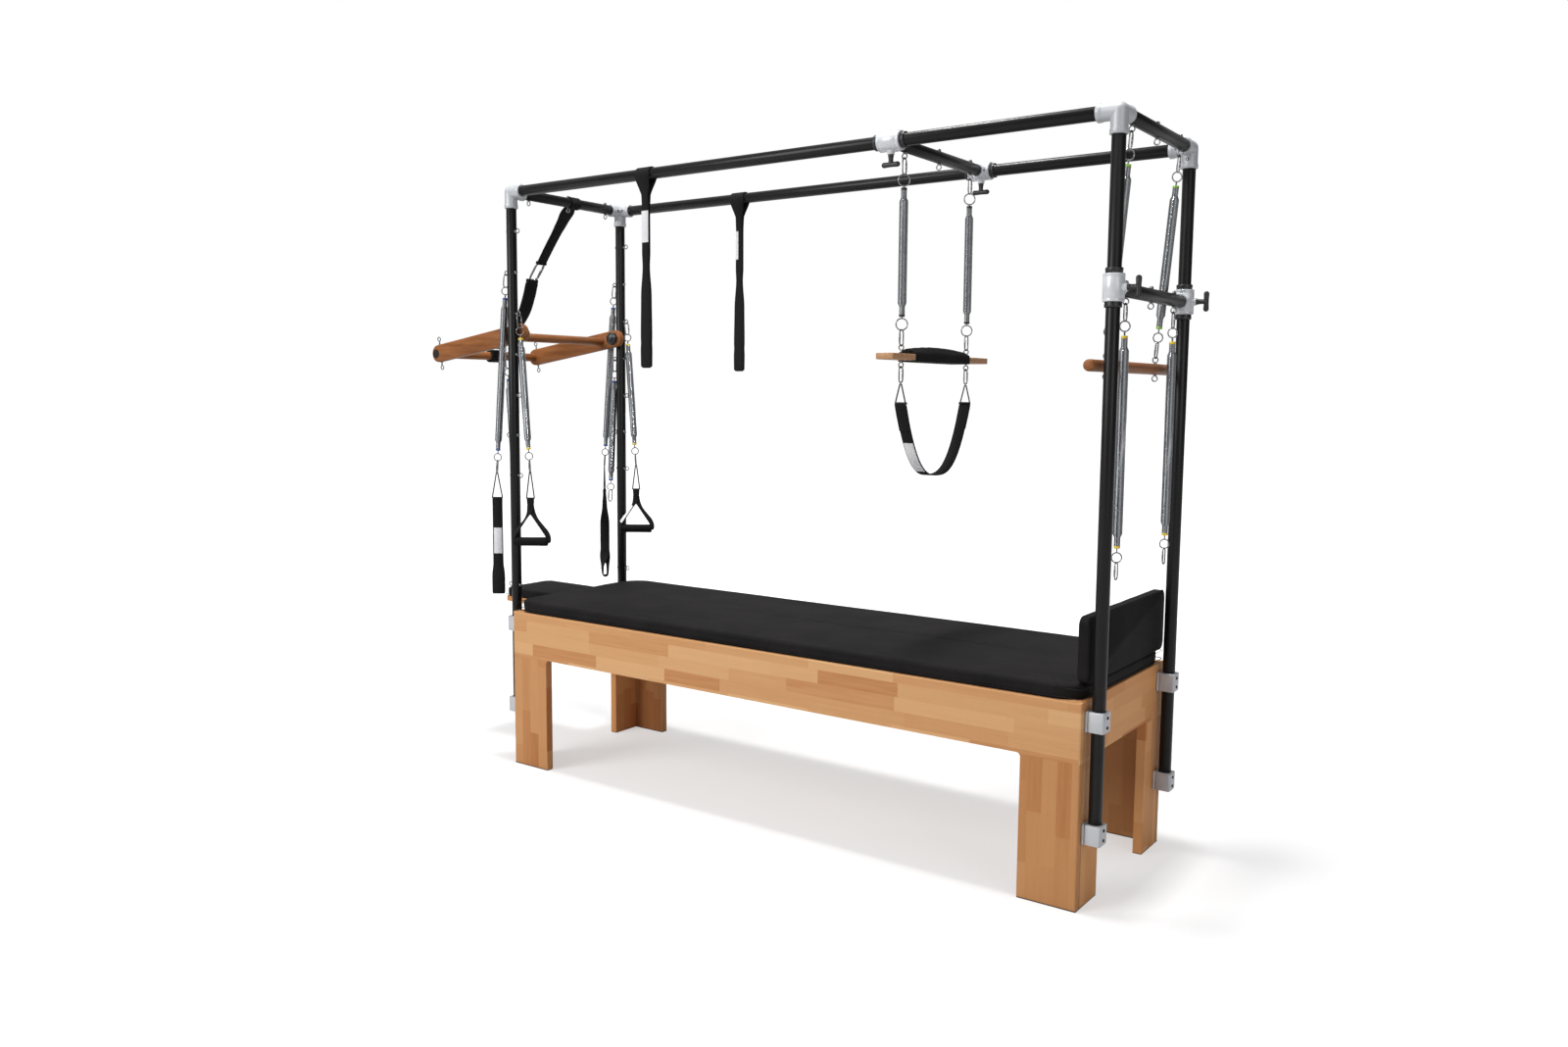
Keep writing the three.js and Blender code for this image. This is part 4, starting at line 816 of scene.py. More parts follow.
def spring_ends(kind, cap_colour, lower_turn=0, ring_radius=14):
    """Ring, link, wire hook and cap for both ends of a spring that hangs from the origin."""
    whole = spring_drop(kind)
    upper = place_all(link, at(0, 0, -hook_drop))
    ring_drop = hook_drop + link_drop - 1.1 + ring_radius
    rings = [(wire_ring((0, 0, z), (-0.6, 0.8, 0), ring_radius, ring_wire, 32), bright_steel)
             for z in (-ring_drop, ring_drop - whole)]
    hook_top, hook_foot = ring_drop + ring_radius - 3.6, cap_drop + 1.5
    corners = [Vector((x * 0.707, x * 0.707, -z)) for x, z in
               ((-3.6, hook_top), (3.6, hook_top), (3.6, hook_foot), (-3.6, hook_foot))]
    upper.append((carried(rounded_loop(corners, 3.4), circle(1.5, 8), True, up=(1, -1, 0)),
                  bright_steel))
    upper.append((moved(spring_cap(), 0, 0, -cap_drop), collar_finish[cap_colour]))
    upside_down = at(0, 0, -whole) @ turn(180, "X") @ turn(lower_turn, "Z")
    return upper + place_all(upper, upside_down) + rings


# %% Hang a spring
def hang_spring(name, body, node, kind, cap_colour, stand, **fittings):
    """A spring as two pieces: its coil and the hardware of both ends."""
    coil = [(moved(coils[kind], 0, 0, -coil_drop), coil_steel)]
    finished_piece(f"{name}_coil", body, place_all(coil, stand), replaces=[node],
                   crease=180)
    finished_piece(f"{name}_ends", body,
                   place_all(spring_ends(kind, cap_colour, **fittings), stand))


def lower_bar_drop(kind):
    """From the eye down to the bar of the lower link, where a ring or a strap hangs."""
    return spring_drop(kind) - hook_drop


# %% [markdown]
# ## Canopy
# Four posts, two long rails and two cross tubes, all of 38 mm black tube, meet in cast corner
# fittings. Two grey clamp blocks hold each post to the bench. Springs hook on eyebolts along the
# left posts and under the cross tubes, and each bolt's nut shows on the far side of its tube.
# %% Posts with their eyebolts
post_foot, tube_end = 190.5, 23
outward_eyes, inward_eyes, low_eye = (1866, 1562, 1258), (2018, 1714, 1410, 1106), 685
eye_reach_post, eye_reach_tube = 33, 30
for side, wy in sides.items():
    for end, wx in ends.items():
        foot_point = (wx * post_x, wy * post_y, post_foot)
        top_point = (wx * post_x, wy * post_y, canopy_height - tube_end)
        shapes = [(rod(foot_point, top_point, tube_radius, 40, 1.5), tube_paint)]
        plug = [(2, -3), (15, -3), (17.5, -1.5), (18.4, 0), (18.4, 4)]
        shapes.append((moved(turned(plug, 32), *foot_point), black_plastic))
        if end == "left":
            low_way = 90 if side == "near" else -90
            eyes = [(z, 90) for z in outward_eyes] + [(z, -90) for z in inward_eyes]
            for z, way in eyes + [(low_eye, low_way)]:
                stand = at(wx * post_x, wy * post_y, z) @ turn(way, "Y")
                shapes += place_all(eyebolt(eye_reach_post, tube_radius, tube_radius), stand)
        finished_piece(f"canopy_post_{side}_{end}", "table", shapes,
                       replaces=[f"post_{side}_{end}"])
print("4 posts,", 2 * (len(eyes) + 1), "eyebolts")

# %% [markdown]
# Each post is held by two clamps, and each clamp is a block round the tube and a plate on the
# bench, with two black screws on the outer face. Only the outside shows, so two rounded blocks
# that meet the tube are enough.
# %% Clamp blocks that hold the posts to the bench
block_height, block_width, block_reach, stand_off = 57, 54, 25, 29.7
plate_depth, clamp_gap = 8, 0.8
clamp_heights, screw_offset = (536, 219), 14
screw_head = [(4.6, -1), (4.8, 1.2), (4.2, 2.4), (2.6, 2.4), (2.4, 0.8)]
for side, wy in sides.items():
    for end, wx in ends.items():
        shapes = []
        for z in clamp_heights:
            base = z - block_height / 2
            depth = block_reach + stand_off - plate_depth - clamp_gap
            body = rounded_block((depth, block_width, block_height), 5)
            plate = rounded_block((plate_depth, block_width, block_height), 3)
            x_body = wx * post_x + wx * (block_reach - depth / 2)
            x_plate = wx * post_x - wx * (stand_off - plate_depth / 2)
            shapes.append((moved(body, x_body, wy * post_y, base), clamp_metal))
            shapes.append((moved(plate, x_plate, wy * post_y, base), clamp_metal))
            for dz in (-screw_offset, screw_offset):
                outer_face = at(wx * (post_x + block_reach), wy * post_y, z + dz)
                head = placed(turned(screw_head, 18), outer_face @ turn(90 * wx, "Y"))
                shapes.append((head, dark_bolt))
        finished_piece(f"post_clamps_{side}_{end}", "table", shapes)
print(4 * len(clamp_heights), "clamps")

# %% [markdown]
# The rails are plain tubes, and the cross tubes carry three eyebolts each. A cast corner is three
# sockets that meet in a ball; every socket is turned on its own axis with the thick rim of a
# casting, and a set screw with a dark recess sits in each.
# %% Rails and cross tubes
rail_half = post_x - tube_end
for side, wy in sides.items():
    rail = rod((-rail_half, wy * post_y, canopy_height), (rail_half, wy * post_y, canopy_height),
               tube_radius, 40)
    finished_piece(f"canopy_rail_{side}", "table", [(rail, tube_paint)],
                   replaces=[f"rail_{side}"])


def tube_with_eyes(half_length, offset):
    """A tube across the table, centred on the origin, with three eyes under it."""
    shapes = [(rod((0, -half_length, 0), (0, half_length, 0), tube_radius, 40), tube_paint)]
    for y in (-offset, 0, offset):
        shapes += place_all(eyebolt(eye_reach_tube, tube_radius, tube_radius), at(0, y, 0))
    return shapes


cross_eyes = {"left": 206, "right": 200}
for end, wx in ends.items():
    shapes = tube_with_eyes(post_y - tube_end, cross_eyes[end])
    finished_piece(f"canopy_cross_tube_{end}", "table",
                   place_all(shapes, at(wx * post_x, 0, canopy_height)),
                   replaces=[f"cross_tube_{end}"])
print("rails and cross tubes,", len(shapes), "shapes on a cross tube")

# %% Cast corners
casting_radius, screw_place = 23.5, 34
leg_profile = [(casting_radius, 0), (casting_radius, 42), (23.8, 45), (24.8, 47.5), (25, 50),
               (25, 58), (24.2, 59.5), (22.5, 60), (19.1, 60)]
ball = [(casting_radius * math.cos(a), casting_radius * math.sin(a))
        for a in (math.radians(-89 + 178 * k / 16) for k in range(17))]
recess = turned([(5.2, -2), (5.2, 0.8), (4.8, 1.0), (3.4, 1.0), (3.2, 0.1)], 20)
for side, wy in sides.items():
    for end, wx in ends.items():
        legs = [turn(180, "X"), turn(-90 * wx, "Y"), turn(90 * wy, "X")]
        shapes = [(turned(ball, 32), cast_metal)]
        for leg in legs:
            shapes.append((placed(turned(leg_profile, 40), leg), cast_metal))
        inward = turn(90 * wy, "X")
        screws = [at(0, 0, -screw_place) @ inward, at(-screw_place * wx, 0, 0) @ inward,
                  at(0, -screw_place * wy, 0) @ turn(-90 * wx, "Y")]
        shapes += [(placed(recess, s @ at(0, 0, casting_radius - 0.3)), dark_bolt) for s in screws]
        place = at(wx * post_x, wy * post_y, canopy_height)
        finished_piece(f"corner_casting_{side}_{end}", "table",
                       place_all(shapes, place), replaces=[f"corner_{side}_{end}"])
print("4 corners with", len(screws), "set screws each")

# %% [markdown]
# ## Sliding crossbars
# The slider and the slide bar are the same assembly: a tube between two sleeves that slide on a
# rail or a post and are locked by a T-knob. The grey sleeve is a turned metal shell over a black
# bushing, whose two flanges stand out of it.
# %% Sleeve and knob
def sleeve_shapes():
    """A sleeve along X round the origin, with the knob's boss below it."""
    shell = turned([(22, -37), (27.6, -37), (28.6, -36.6), (29, -35.4), (29, -30), (28.6, -29.4),
                    (28.6, -28.6), (29, -28), (29, 28), (28.6, 28.6), (28.6, 29.4), (29, 30),
                    (29, 35.4), (28.6, 36.6), (27.6, 37), (22, 37)], 48, hollow=True)
    bushing = turned([(19.6, -52), (22.6, -52), (23.5, -51), (23.5, -44), (22.9, -43), (22.9, -36),
                      (22.9, 36), (22.9, 43), (23.5, 44), (23.5, 51), (22.6, 52), (19.6, 52)],
                     40, hollow=True)
    boss = turned([(13.5, -26), (11.6, -31), (11, -33), (11, -37.2), (10.3, -38)], 28)
    along = turn(90, "Y")
    return [(placed(shell, along), sleeve_paint), (placed(bushing, along), black_plastic),
            (boss, sleeve_paint)]


def tee_knob():
    """A moulded T under a sleeve: neck, crossbar with round ends and a steel screw."""
    neck = turned([(8.5, -38.3), (8.8, -42), (7.6, -47), (7.2, -56), (7.6, -60), (7.6, -66)], 24)
    reach, radius = 30.5, 8
    bar = [(radius * math.sin(a), -reach + radius * (1 - math.cos(a)))
           for a in (math.radians(8 + 82 * k / 7) for k in range(8))]
    bar += [(7.2, -6), (7.2, 6)] + [(r, -x) for r, x in reversed(bar)]
    crossbar = placed(turned(bar, 24), at(0, 0, -67) @ turn(90, "Y"))
    screw = rod((0, 0, -38.5), (0, 0, -21), 4.8, 16, 0.6)
    return [(neck, black_plastic), (crossbar, black_plastic), (screw, bright_steel)]


# %% [markdown]
# The slider lies under the rails with its knobs pointing down. The slide bar is the same assembly
# stood on end, so its sleeves run on the posts and its knobs point away from the bench, but its
# eyebolts still hang down. One loop builds both from where they stand and where their eyes are.
# %% Fit the slider and the slide bar
slider_x, trapeze_offset = 476, 213
slide_bar_height, side_offset = 1707, 200
tube_gap = 20
slider_stand = at(slider_x, 0, canopy_height)
slide_bar_stand = at(post_x, 0, slide_bar_height) @ turn(-90, "Y")
seat_profile = [(19.1, 20), (24.6, 20), (24.6, 35.5), (23.8, 37), (22.6, 37.4), (19.1, 37.4)]
screw_profile = [(4, 0), (4, 1.4), (3.4, 1.6), (2.2, 1.6), (2, 0.4)]
for name, stand, offset, eye_turn in (("slider", slider_stand, trapeze_offset, 0),
                                      ("slide_bar", slide_bar_stand, side_offset, 90)):
    tube = place_all(tube_with_eyes(post_y - tube_gap, offset), turn(eye_turn, "Y"))
    finished_piece(f"{name}_crossbar", name, place_all(tube, stand),
                   replaces=[f"{name}_tube"])
    for side, wy in sides.items():
        place = stand @ at(0, wy * post_y, 0)
        inward = turn(90 * wy, "X")
        seat = placed(turned(seat_profile, 40, hollow=True), inward)
        screw = placed(turned(screw_profile, 16), inward @ turn(90, "Y") @ at(-31, 0, 24.2))
        collar = sleeve_shapes() + [(seat, sleeve_paint), (screw, dark_bolt)]
        finished_piece(f"{name}_collar_{side}", name, place_all(collar, place),
                       replaces=[f"{name}_sleeve_{side}"])
        finished_piece(f"{name}_tee_knob_{side}", f"{name}_knob_{side}",
                       place_all(tee_knob(), place), replaces=[f"{name}_knob_{side}"])
print("crossbars at", slider_x, "mm along the rails and", slide_bar_height, "mm up the posts")

# %% [markdown]
# ## Trapeze
# Two short springs carry a plank with a padded sleeve round its middle. Under it, two links and two
# wire triangles carry a sling of webbing. Webbing is always made the same way here: one flat band
# turned round a wire and stitched back on itself.
# %% Hang the trapeze springs and the plank
trapeze_eye = canopy_height - eye_reach_tube - spring_drop("trapeze")
for side, wy in sides.items():
    hung = at(slider_x, wy * trapeze_offset, canopy_height - eye_reach_tube)
    hang_spring(f"trapeze_{side}", "trapeze_springs", f"trapeze_spring_{side}", "trapeze", "black",
                hung, ring_radius=17.5)

plank_size, plank_edge, upper_reach, lower_reach = (62, 625, 19), 4.5, 19, 15
plank_top = trapeze_eye - upper_reach
plank_foot = plank_top - plank_size[2]
plank = placed(rounded_block(plank_size, plank_edge), at(slider_x, 0, plank_foot))
shapes = [(plank, board_wood)]
for wy in (-1, 1):
    upper = at(slider_x, wy * trapeze_offset, plank_top) @ turn(180, "X")
    lower = at(slider_x, wy * trapeze_offset, plank_foot)
    for stand, reach in ((upper, upper_reach), (lower, lower_reach)):
        shapes += place_all(eyebolt(reach, 0), stand)
finished_piece("trapeze_plank", "trapeze_board", shapes, replaces=["trapeze_board"])
print("plank", plank_size, "mm, its top at", round(plank_top, 1), "mm")

# %% [markdown]
# The sleeve round the plank is pulled tight below and domed above, and it is drawn in at both ends
# like a stuffed tube. One outline follows these three wishes and is carried along the plank.
# %% Pad the middle of the plank
def domed_outline(half, low, high, crown, pull):
    """(up, across) round a cushion that is flat below and domed above, drawn in by pull."""
    half, low, high = half - pull, low + pull, high - pull
    points = [(low + 1.5, half), (low, half - 3), (low, 0), (low, 3 - half), (low + 1.5, -half),
              ((low + high) / 2, -half - 0.6), (high - 2, -half), (high + 1, 2 - half)]
    for k in range(1, 12):
        share = k / 6 - 1
        points.append((high + crown * (1 - share * share), (half - 2) * share))
    points += [(high + 1, half - 2), (high - 2, half), ((low + high) / 2, half + 0.6)]
    return points


cover_half, cover_round, cover_steps = 178, 7, 48
cover_half_width, cover_half_height = 35.3, 13.8
cover_path, cover_rings = [], []
for k in range(cover_steps + 1):
    y = -cover_half + 2 * cover_half * k / cover_steps
    end_share = max(0, abs(y) - (cover_half - cover_round)) / cover_round
    pull = 3.2 * (1 - math.sqrt(max(0, 1 - end_share * end_share)))
    ripple = 0.8 * noise.noise(Vector((y / 24, 3, 0)))
    cover_path.append((slider_x, y, plank_top - plank_size[2] / 2))
    rise = 9 * (1 - (y / cover_half) ** 2)
    cover_rings.append(domed_outline(cover_half_width, -cover_half_height, cover_half_height,
                                     12.4 + ripple + rise, pull))
cover = carried(cover_path, cover_rings, up=(0, 0, 1))
cover_piece = finished_piece("trapeze_pad", "trapeze_board", [(cover, upholstery)],
                             replaces=["trapeze_cover"])
print("trapeze pad", len(cover[0]), "points")

# %% [markdown]
# The sling, the handles and the long loops hang on rings of black wire, narrow where a link holds
# them and wide where the webbing is turned round them. The sling is one band that droops between
# two such rings. A power of the distance from the middle gives its line, flat below and steep at
# the ends, as heavy webbing hangs.
# %% Wire rings for webbing
def wire_trapezoid(width, height, wire, top=9):
    """A ring of round wire, narrow at its top bar at the origin and wide at its foot."""
    half = width / 2 - wire
    corners = [(-top / 2, 0, 0), (top / 2, 0, 0), (half, 0, 2 * wire - height),
               (-half, 0, 2 * wire - height)]
    return carried(rounded_loop(corners, 3.4), circle(wire, 8), True, up=(0, 1, 0))


# %% Hang the sling
sling_eye = plank_foot - lower_reach
ring_top = sling_eye - hook_drop - link_drop - 2.4
ring_height, sling_depth, sling_width, bend = 66, 227, 40, 3.4
ring_foot = ring_top - ring_height + 4
shapes = []
for wy in (-1, 1):
    shapes += place_all(link, at(slider_x, wy * trapeze_offset, sling_eye - hook_drop))
    ring = moved(wire_trapezoid(46, ring_height, 2.3), slider_x, wy * trapeze_offset, ring_top)
    shapes.append((ring, black_plastic))
line = []
for k in range(41):
    share = math.sin(math.pi / 2 * (k / 20 - 1))
    z = ring_foot - sling_depth + (sling_depth - 4) * abs(share) ** 2.7
    line.append(Vector((slider_x, (trapeze_offset - bend) * share, z)))
shapes.append((carried(line, band(sling_width, 3), up=(1, 0, 0)), strap_cloth))


def outside(first, last, gap):
    """A stretch of the sling's line moved outward by gap."""
    moved_points = []
    for k in range(first, last + 1):
        tangent = (line[min(k + 1, 40)] - line[max(k - 1, 0)]).normalized()
        moved_points.append(line[k] + Vector((0, -tangent.z, tangent.y)) * -gap)
    return moved_points


for end_point, tail in ((line[0], outside(1, 7, 3.1)), (line[40], outside(33, 39, 3.1)[::-1])):
    way = -1 if end_point.y < 0 else 1
    bar = Vector((slider_x, end_point.y, ring_foot))
    arc = [bar + Vector((0, -way * bend * math.cos(a), bend * math.sin(a)))
           for a in (math.pi * k / 8 for k in range(-1, 9))]
    shapes.append((carried(arc + tail, band(sling_width, 3), up=(1, 0, 0)), strap_cloth))
shapes.append((carried(outside(9, 15, 2.1), band(34, 1.2), up=(1, 0, 0)), label_cloth))
finished_piece("trapeze_sling_strap", "trapeze_sling", shapes,
               replaces=["trapeze_sling"])
print("sling from", round(ring_foot, 1), "mm down to", round(line[20].z, 1), "mm")

# %% [markdown]
# ## Springs on the right
# Two long springs hang from the slide bar. The two springs of the roll-down bar start at the top
# and lean against the slide bar on their way down, so the dowel hangs a little inward of the posts.
# %% Side springs and the roll-down bar
for side, wy in sides.items():
    hung = at(post_x, wy * side_offset, slide_bar_height - eye_reach_tube)
    name = f"side_spring_{side}"
    hang_spring(f"side_{side}", name, name, "long", "yellow", hung)
roll_lean = math.degrees(math.asin((tube_radius + coil_radius + 2)
                                   / (canopy_height - eye_reach_tube - slide_bar_height)))
roll_top = at(post_x, 0, canopy_height - eye_reach_tube) @ turn(roll_lean, "Y")
for side, wy in sides.items():
    hang_spring(f"rolldown_{side}", "rolldown_springs", f"rolldown_spring_{side}", "short", "green",
                roll_top @ at(0, wy * cross_eyes["right"], 0))
dowel_eye = roll_top @ Vector((0, 0, -spring_drop("short")))


def turned_dowel(half, radius):
    """A dowel across the table with its ends rounded over."""
    profile = [(radius * 0.45, -half), (radius * 0.75, -half + 1), (radius * 0.93, -half + 4),
               (radius, -half + 9)]
    return placed(turned(profile + [(r, -h) for r, h in reversed(profile)], 36), turn(90, "X"))


dowel_half, dowel_radius, dowel_reach = 330, 16.5, 28
dowel_stand = at(dowel_eye.x, 0, dowel_eye.z - dowel_reach)
shapes = [(turned_dowel(dowel_half, dowel_radius), dowel_wood)]
for wy in (-1, 1):
    for way in (0, 180):
        shapes += place_all(eyebolt(dowel_reach, dowel_radius),
                            at(0, wy * cross_eyes["right"], 0) @ turn(way, "X"))
finished_piece("rolldown_dowel", "rolldown_bar", place_all(shapes, dowel_stand),
               replaces=["rolldown_bar"])
print("springs lean by", round(roll_lean, 2), "degrees, dowel at", dowel_stand.translation[:])

# %% [markdown]
# ## Push-through bar
# Two oiled wooden arms swing between the left posts on bolts with black hand knobs. A dowel joins
# their tips as the handle and a second one stiffens them near the pivot. At rest the bar hangs a
# little below level on its safety strap.
# %% Shapes of the arm and its hand knob
arm_tilt, pivot_height = 8.5, 1643
bar_stand = at(-post_x, 0, pivot_height) @ turn(-arm_tilt, "Y")
arm_outer, arm_inner = 271.5, 246.5
arm_start, arm_end, arm_depth, arm_bevel = -510, 40, 68, 4
arm_thickness = arm_outer - arm_inner
arm_eye_x, arm_eye_reach = -472, 57
arm_dowels = {"bar_handle": (-485, 17), "bar_stiffener": (-71, 16.5)}


def long_plate(start, end, depth, thickness, bevel):
    """A plate with round ends along X, its middle plane on Y = 0, with softened edges."""
    rings = []
    half = thickness / 2
    for inset, y in ((bevel, -half), (bevel * 0.3, -half + bevel * 0.3), (0, -half + bevel),
                     (0, half - bevel), (bevel * 0.3, half - bevel * 0.3), (bevel, half)):
        radius, ring = depth / 2 - inset, []
        for centre, first in ((end - depth / 2, -90), (start + depth / 2, 90)):
            for k in range(19):
                angle = math.radians(first + 10 * k)
                ring.append((centre + radius * math.cos(angle), y, radius * math.sin(angle)))
        rings.append(ring)
    return skin(rings)


def round_knob():
    """A lobed hand knob with its flat side at zero and a domed cap below it."""
    rings, lobe_count = [], 7
    for radius, z, lobes in ((9, 1.5, 0), (14, 1, 0), (22, 0, 0.04), (24.3, -2, 0.06),
                             (24.8, -9, 0.06), (23.6, -15, 0.05), (20, -17.5, 0.03),
                             (14.5, -18.5, 0), (13.5, -24, 0), (11, -25.7, 0), (4, -26, 0)):
        ring = []
        for x, y in circle(radius, 56):
            swell = 1 + lobes * math.cos(lobe_count * math.atan2(y, x))
            ring.append((x * swell, y * swell, z))
        rings.append(ring)
    return skin(rings)


print("arm from", arm_start, "to", arm_end, "mm about its pivot")

# %% [markdown]
# An arm carries an eyebolt on each edge near its tip, a dark line round each dowel where it enters
# the wood, and a steel plate where the pivot bolt comes through. The hand knob is a body of its
# own, because it turns on the bolt.
# %% Arms, knobs and dowels
for side, wy in sides.items():
    shapes = [(long_plate(arm_start, arm_end, arm_depth, arm_thickness, arm_bevel), bar_wood)]
    for way in (0, 180):
        shapes += place_all(eyebolt(arm_eye_reach, arm_depth / 2),
                            at(arm_eye_x, 0, 0) @ turn(way, "X"))
    outer_face = at(0, wy * arm_thickness / 2, 0) @ turn(-90 * wy, "X")
    for x, radius in arm_dowels.values():
        seat = turned([(radius + 0.9, -0.3), (radius + 0.9, 0.25), (radius - 0.3, 0.25)], 36)
        shapes.append((placed(seat, at(x, 0, 0) @ outer_face), dark_bolt))
    plate = turned([(11, -0.5), (11, 1.2), (10.4, 1.6), (6.4, 1.6)], 28)
    shapes.append((placed(plate, outer_face), bright_steel))
    middle = wy * (arm_outer + arm_inner) / 2
    finished_piece(f"push_arm_{side}", "push_bar",
                   place_all(shapes, bar_stand @ at(0, middle, 0)), replaces=[f"arm_{side}"])
    knob = [(round_knob(), black_plastic), (rod((0, 0, -1), (0, 0, 27), 5.8, 20), bright_steel)]
    finished_piece(f"hand_knob_{side}", f"bar_knob_{side}",
                   place_all(knob, bar_stand @ at(0, wy * arm_inner - wy * 0.3, 0)
                             @ turn(-90 * wy, "X")), replaces=[f"bar_knob_{side}"])
for name, (x, radius) in arm_dowels.items():
    dowel = rod((x, -arm_outer - 0.2, 0), (x, arm_outer + 0.2, 0), radius, 40, 1.2)
    finished_piece(f"{name}_dowel", "push_bar",
                   place_all([(dowel, dowel_wood)], bar_stand), replaces=[name])
print("bar tilted by", arm_tilt, "degrees")

# %% [markdown]
# ## Springs on the left
# The eyebolts of the left posts carry six springs. The outer ones end in long webbing loops, the
# inner ones in foam-covered handles, and two hang free. Each leans on the bolts below its own.
# The wire rings and the links that hold them are turned about the spring's axis, as they hang in
# the photograph.
# %% Left springs
outer_x, inner_x = -post_x - eye_reach_post, -post_x + eye_reach_post
ring_turn, free_lean = 35.8, 3.4
left_springs = [
    ("outer_spring_near", outer_x, -1, outward_eyes[0], "long", 5.3, "blue"),
    ("outer_spring_far", outer_x, 1, outward_eyes[0], "long", 5.0, "blue"),
    ("inner_spring_near", inner_x, -1, inward_eyes[1], "short", -4.8, "yellow"),
    ("inner_spring_far", inner_x, 1, inward_eyes[1], "short", -4.8, "yellow"),
]
lower_bars = {}
for name, x, wy, z, kind, lean, shade in left_springs:
    hung = at(x, wy * post_y, z) @ turn(lean, "Y")
    hang_spring(name.replace("_spring", ""), name, name, kind, shade, hung,
                lower_turn=-ring_turn)
    lower_bars[name] = hung @ Vector((0, 0, -lower_bar_drop(kind)))
for side, wy in sides.items():
    eye_foot = at(outer_x, wy * post_y, outward_eyes[1] - eye_radius)
    hung = eye_foot @ turn(-free_lean * wy, "X") @ at(0, 0, eye_radius + 0.5)
    name = f"free_spring_{side}"
    hang_spring(f"free_{side}", name, name, "short", "blue", hung)
print({name: [round(v) for v in end] for name, end in lower_bars.items()})

# %% [markdown]
# A handle is a wire ring, a stitched neck of webbing, two legs and a foam grip between them. The
# legs leave the neck flat to the front and turn edge-on on their way to the grip, so their outline
# is turned a little more at every point.
# %% Shapes of a handle
grip_drop, grip_half, grip_radius = 262, 64, 17
ring_hang, handle_ring, neck_drop = 3.8, 108, 40
neck_top = ring_hang - handle_ring + 2
neck_foot = neck_top - neck_drop
leg_turns = [(0, 0), (0.1, 12), (0.36, 68), (0.62, 52), (0.84, 72), (1, 90)]
leg_width = 25


def handle_leg(way):
    """The line of one strap leg, and the webbing's turn at each of its points."""
    top, bottom = neck_foot, -grip_drop
    leg = smooth_path([(way * 1, 0, top + 16), (way * 2, 0, top + 4), (way * 8, 0, top - 12),
                       (way * 24, 0, top - 40), (way * 43, 0, bottom + 54),
                       (way * 60, 0, bottom + 30), (way * 68, 0, bottom + 10),
                       (way * 67, 0, bottom - 3), (way * 55, 0, bottom - 4)], 4)
    turns = [math.radians(way * eased(k / (len(leg) - 1), leg_turns)) for k in range(len(leg))]
    return leg, turns


def turned_band(width, thickness, angle, lift=0.0):
    """Webbing that shows its flat side to Y at no turn, raised by lift off its middle."""
    c, s = math.cos(angle), math.sin(angle)
    return [((b + lift) * c + a * s, a * c - (b + lift) * s) for a, b in band(width, thickness)]


def handle_shapes(labelled):
    """The ring and all webbing of a handle; one of the two wears a blank label on its leg."""
    shapes = [(moved(wire_trapezoid(40, handle_ring, 2.5), 0, 0, ring_hang), black_plastic)]
    for y in (-2.2, 2.2):
        neck = [(0, y, neck_top + 3), (0, y, neck_top - 12), (0, y * 0.9, neck_foot + 14),
                (0, y * 0.6, neck_foot)]
        outlines = [band(width, 2.6) for width in (27, 26, 23, 21)]
        shapes.append((carried(neck, outlines, up=(1, 0, 0)), strap_cloth))
    over = [(0, 2.6 * math.cos(a), neck_top + 2 + 2.6 * math.sin(a))
            for a in (math.pi * k / 8 for k in range(9))]
    shapes.append((carried(over, band(27, 2.4), up=(1, 0, 0)), strap_cloth))
    for way in (-1, 1):
        leg, turns = handle_leg(way)
        outlines = [turned_band(leg_width, 2.8, angle) for angle in turns]
        shapes.append((carried(leg, outlines, up=(0, 1, 0)), strap_cloth))
    if labelled:
        leg, turns = handle_leg(-1)
        stretch = slice(10, 22)
        outlines = [turned_band(19, 1.2, angle, -2.0) for angle in turns[stretch]]
        shapes.append((carried(leg[stretch], outlines, up=(0, 1, 0)), label_cloth))
    return shapes


def foam_grip():
    profile = [(10, -grip_half), (14.5, -grip_half + 0.6), (16.4, -grip_half + 3),
               (grip_radius, -grip_half + 8), (grip_radius - 0.5, -20), (grip_radius - 0.5, 20)]
    profile += [(r, -x) for r, x in reversed(profile[:4])]
    return placed(turned(profile, 32), at(0, 0, -grip_drop) @ turn(90, "Y"))


# %% Hang the handles
for side in sides:
    stand = Matrix.Translation(lower_bars[f"inner_spring_{side}"]) @ turn(ring_turn, "Z")
    shapes = handle_shapes(side == "far")
    finished_piece(f"handle_strap_{side}", f"handle_{side}",
                   place_all(shapes, stand), replaces=[f"handle_{side}"])
    grip = finished_piece(f"handle_grip_{side}", f"handle_{side}",
                          place_all([(foam_grip(), grip_foam)], stand))
print("handle grips", 2 * grip_half, "mm long")

# %% [markdown]
# A long loop is one closed band: down one side, round the padded opening at its foot, up the other
# side and over the wire ring. It hangs from a link that may turn, so the whole band can be twisted
# on its way down; the far one shows its edge at the top and its flat side in the middle.
# %% Shape of a long loop
loop_length, opening_drop, loop_ring = 370, 275, 106
padded_band, plain_band, loop_step, foot_bend = 5, 2.9, 11, 11
loop_top = ring_hang - loop_ring + 2
loop_gaps = [(0, 3.0), (20, 1.7), (opening_drop - 20, 1.7), (opening_drop + 40, 11.5),
             (loop_length - 18, foot_bend)]
loop_widths = [(-4, 38), (0, 38), (opening_drop - 30, 39), (opening_drop + 20, 46),
               (loop_length, 46)]
loop_drops = [2, 12] + [20 + loop_step * k
                        for k in range(int((loop_length - 38) / loop_step) + 1)]


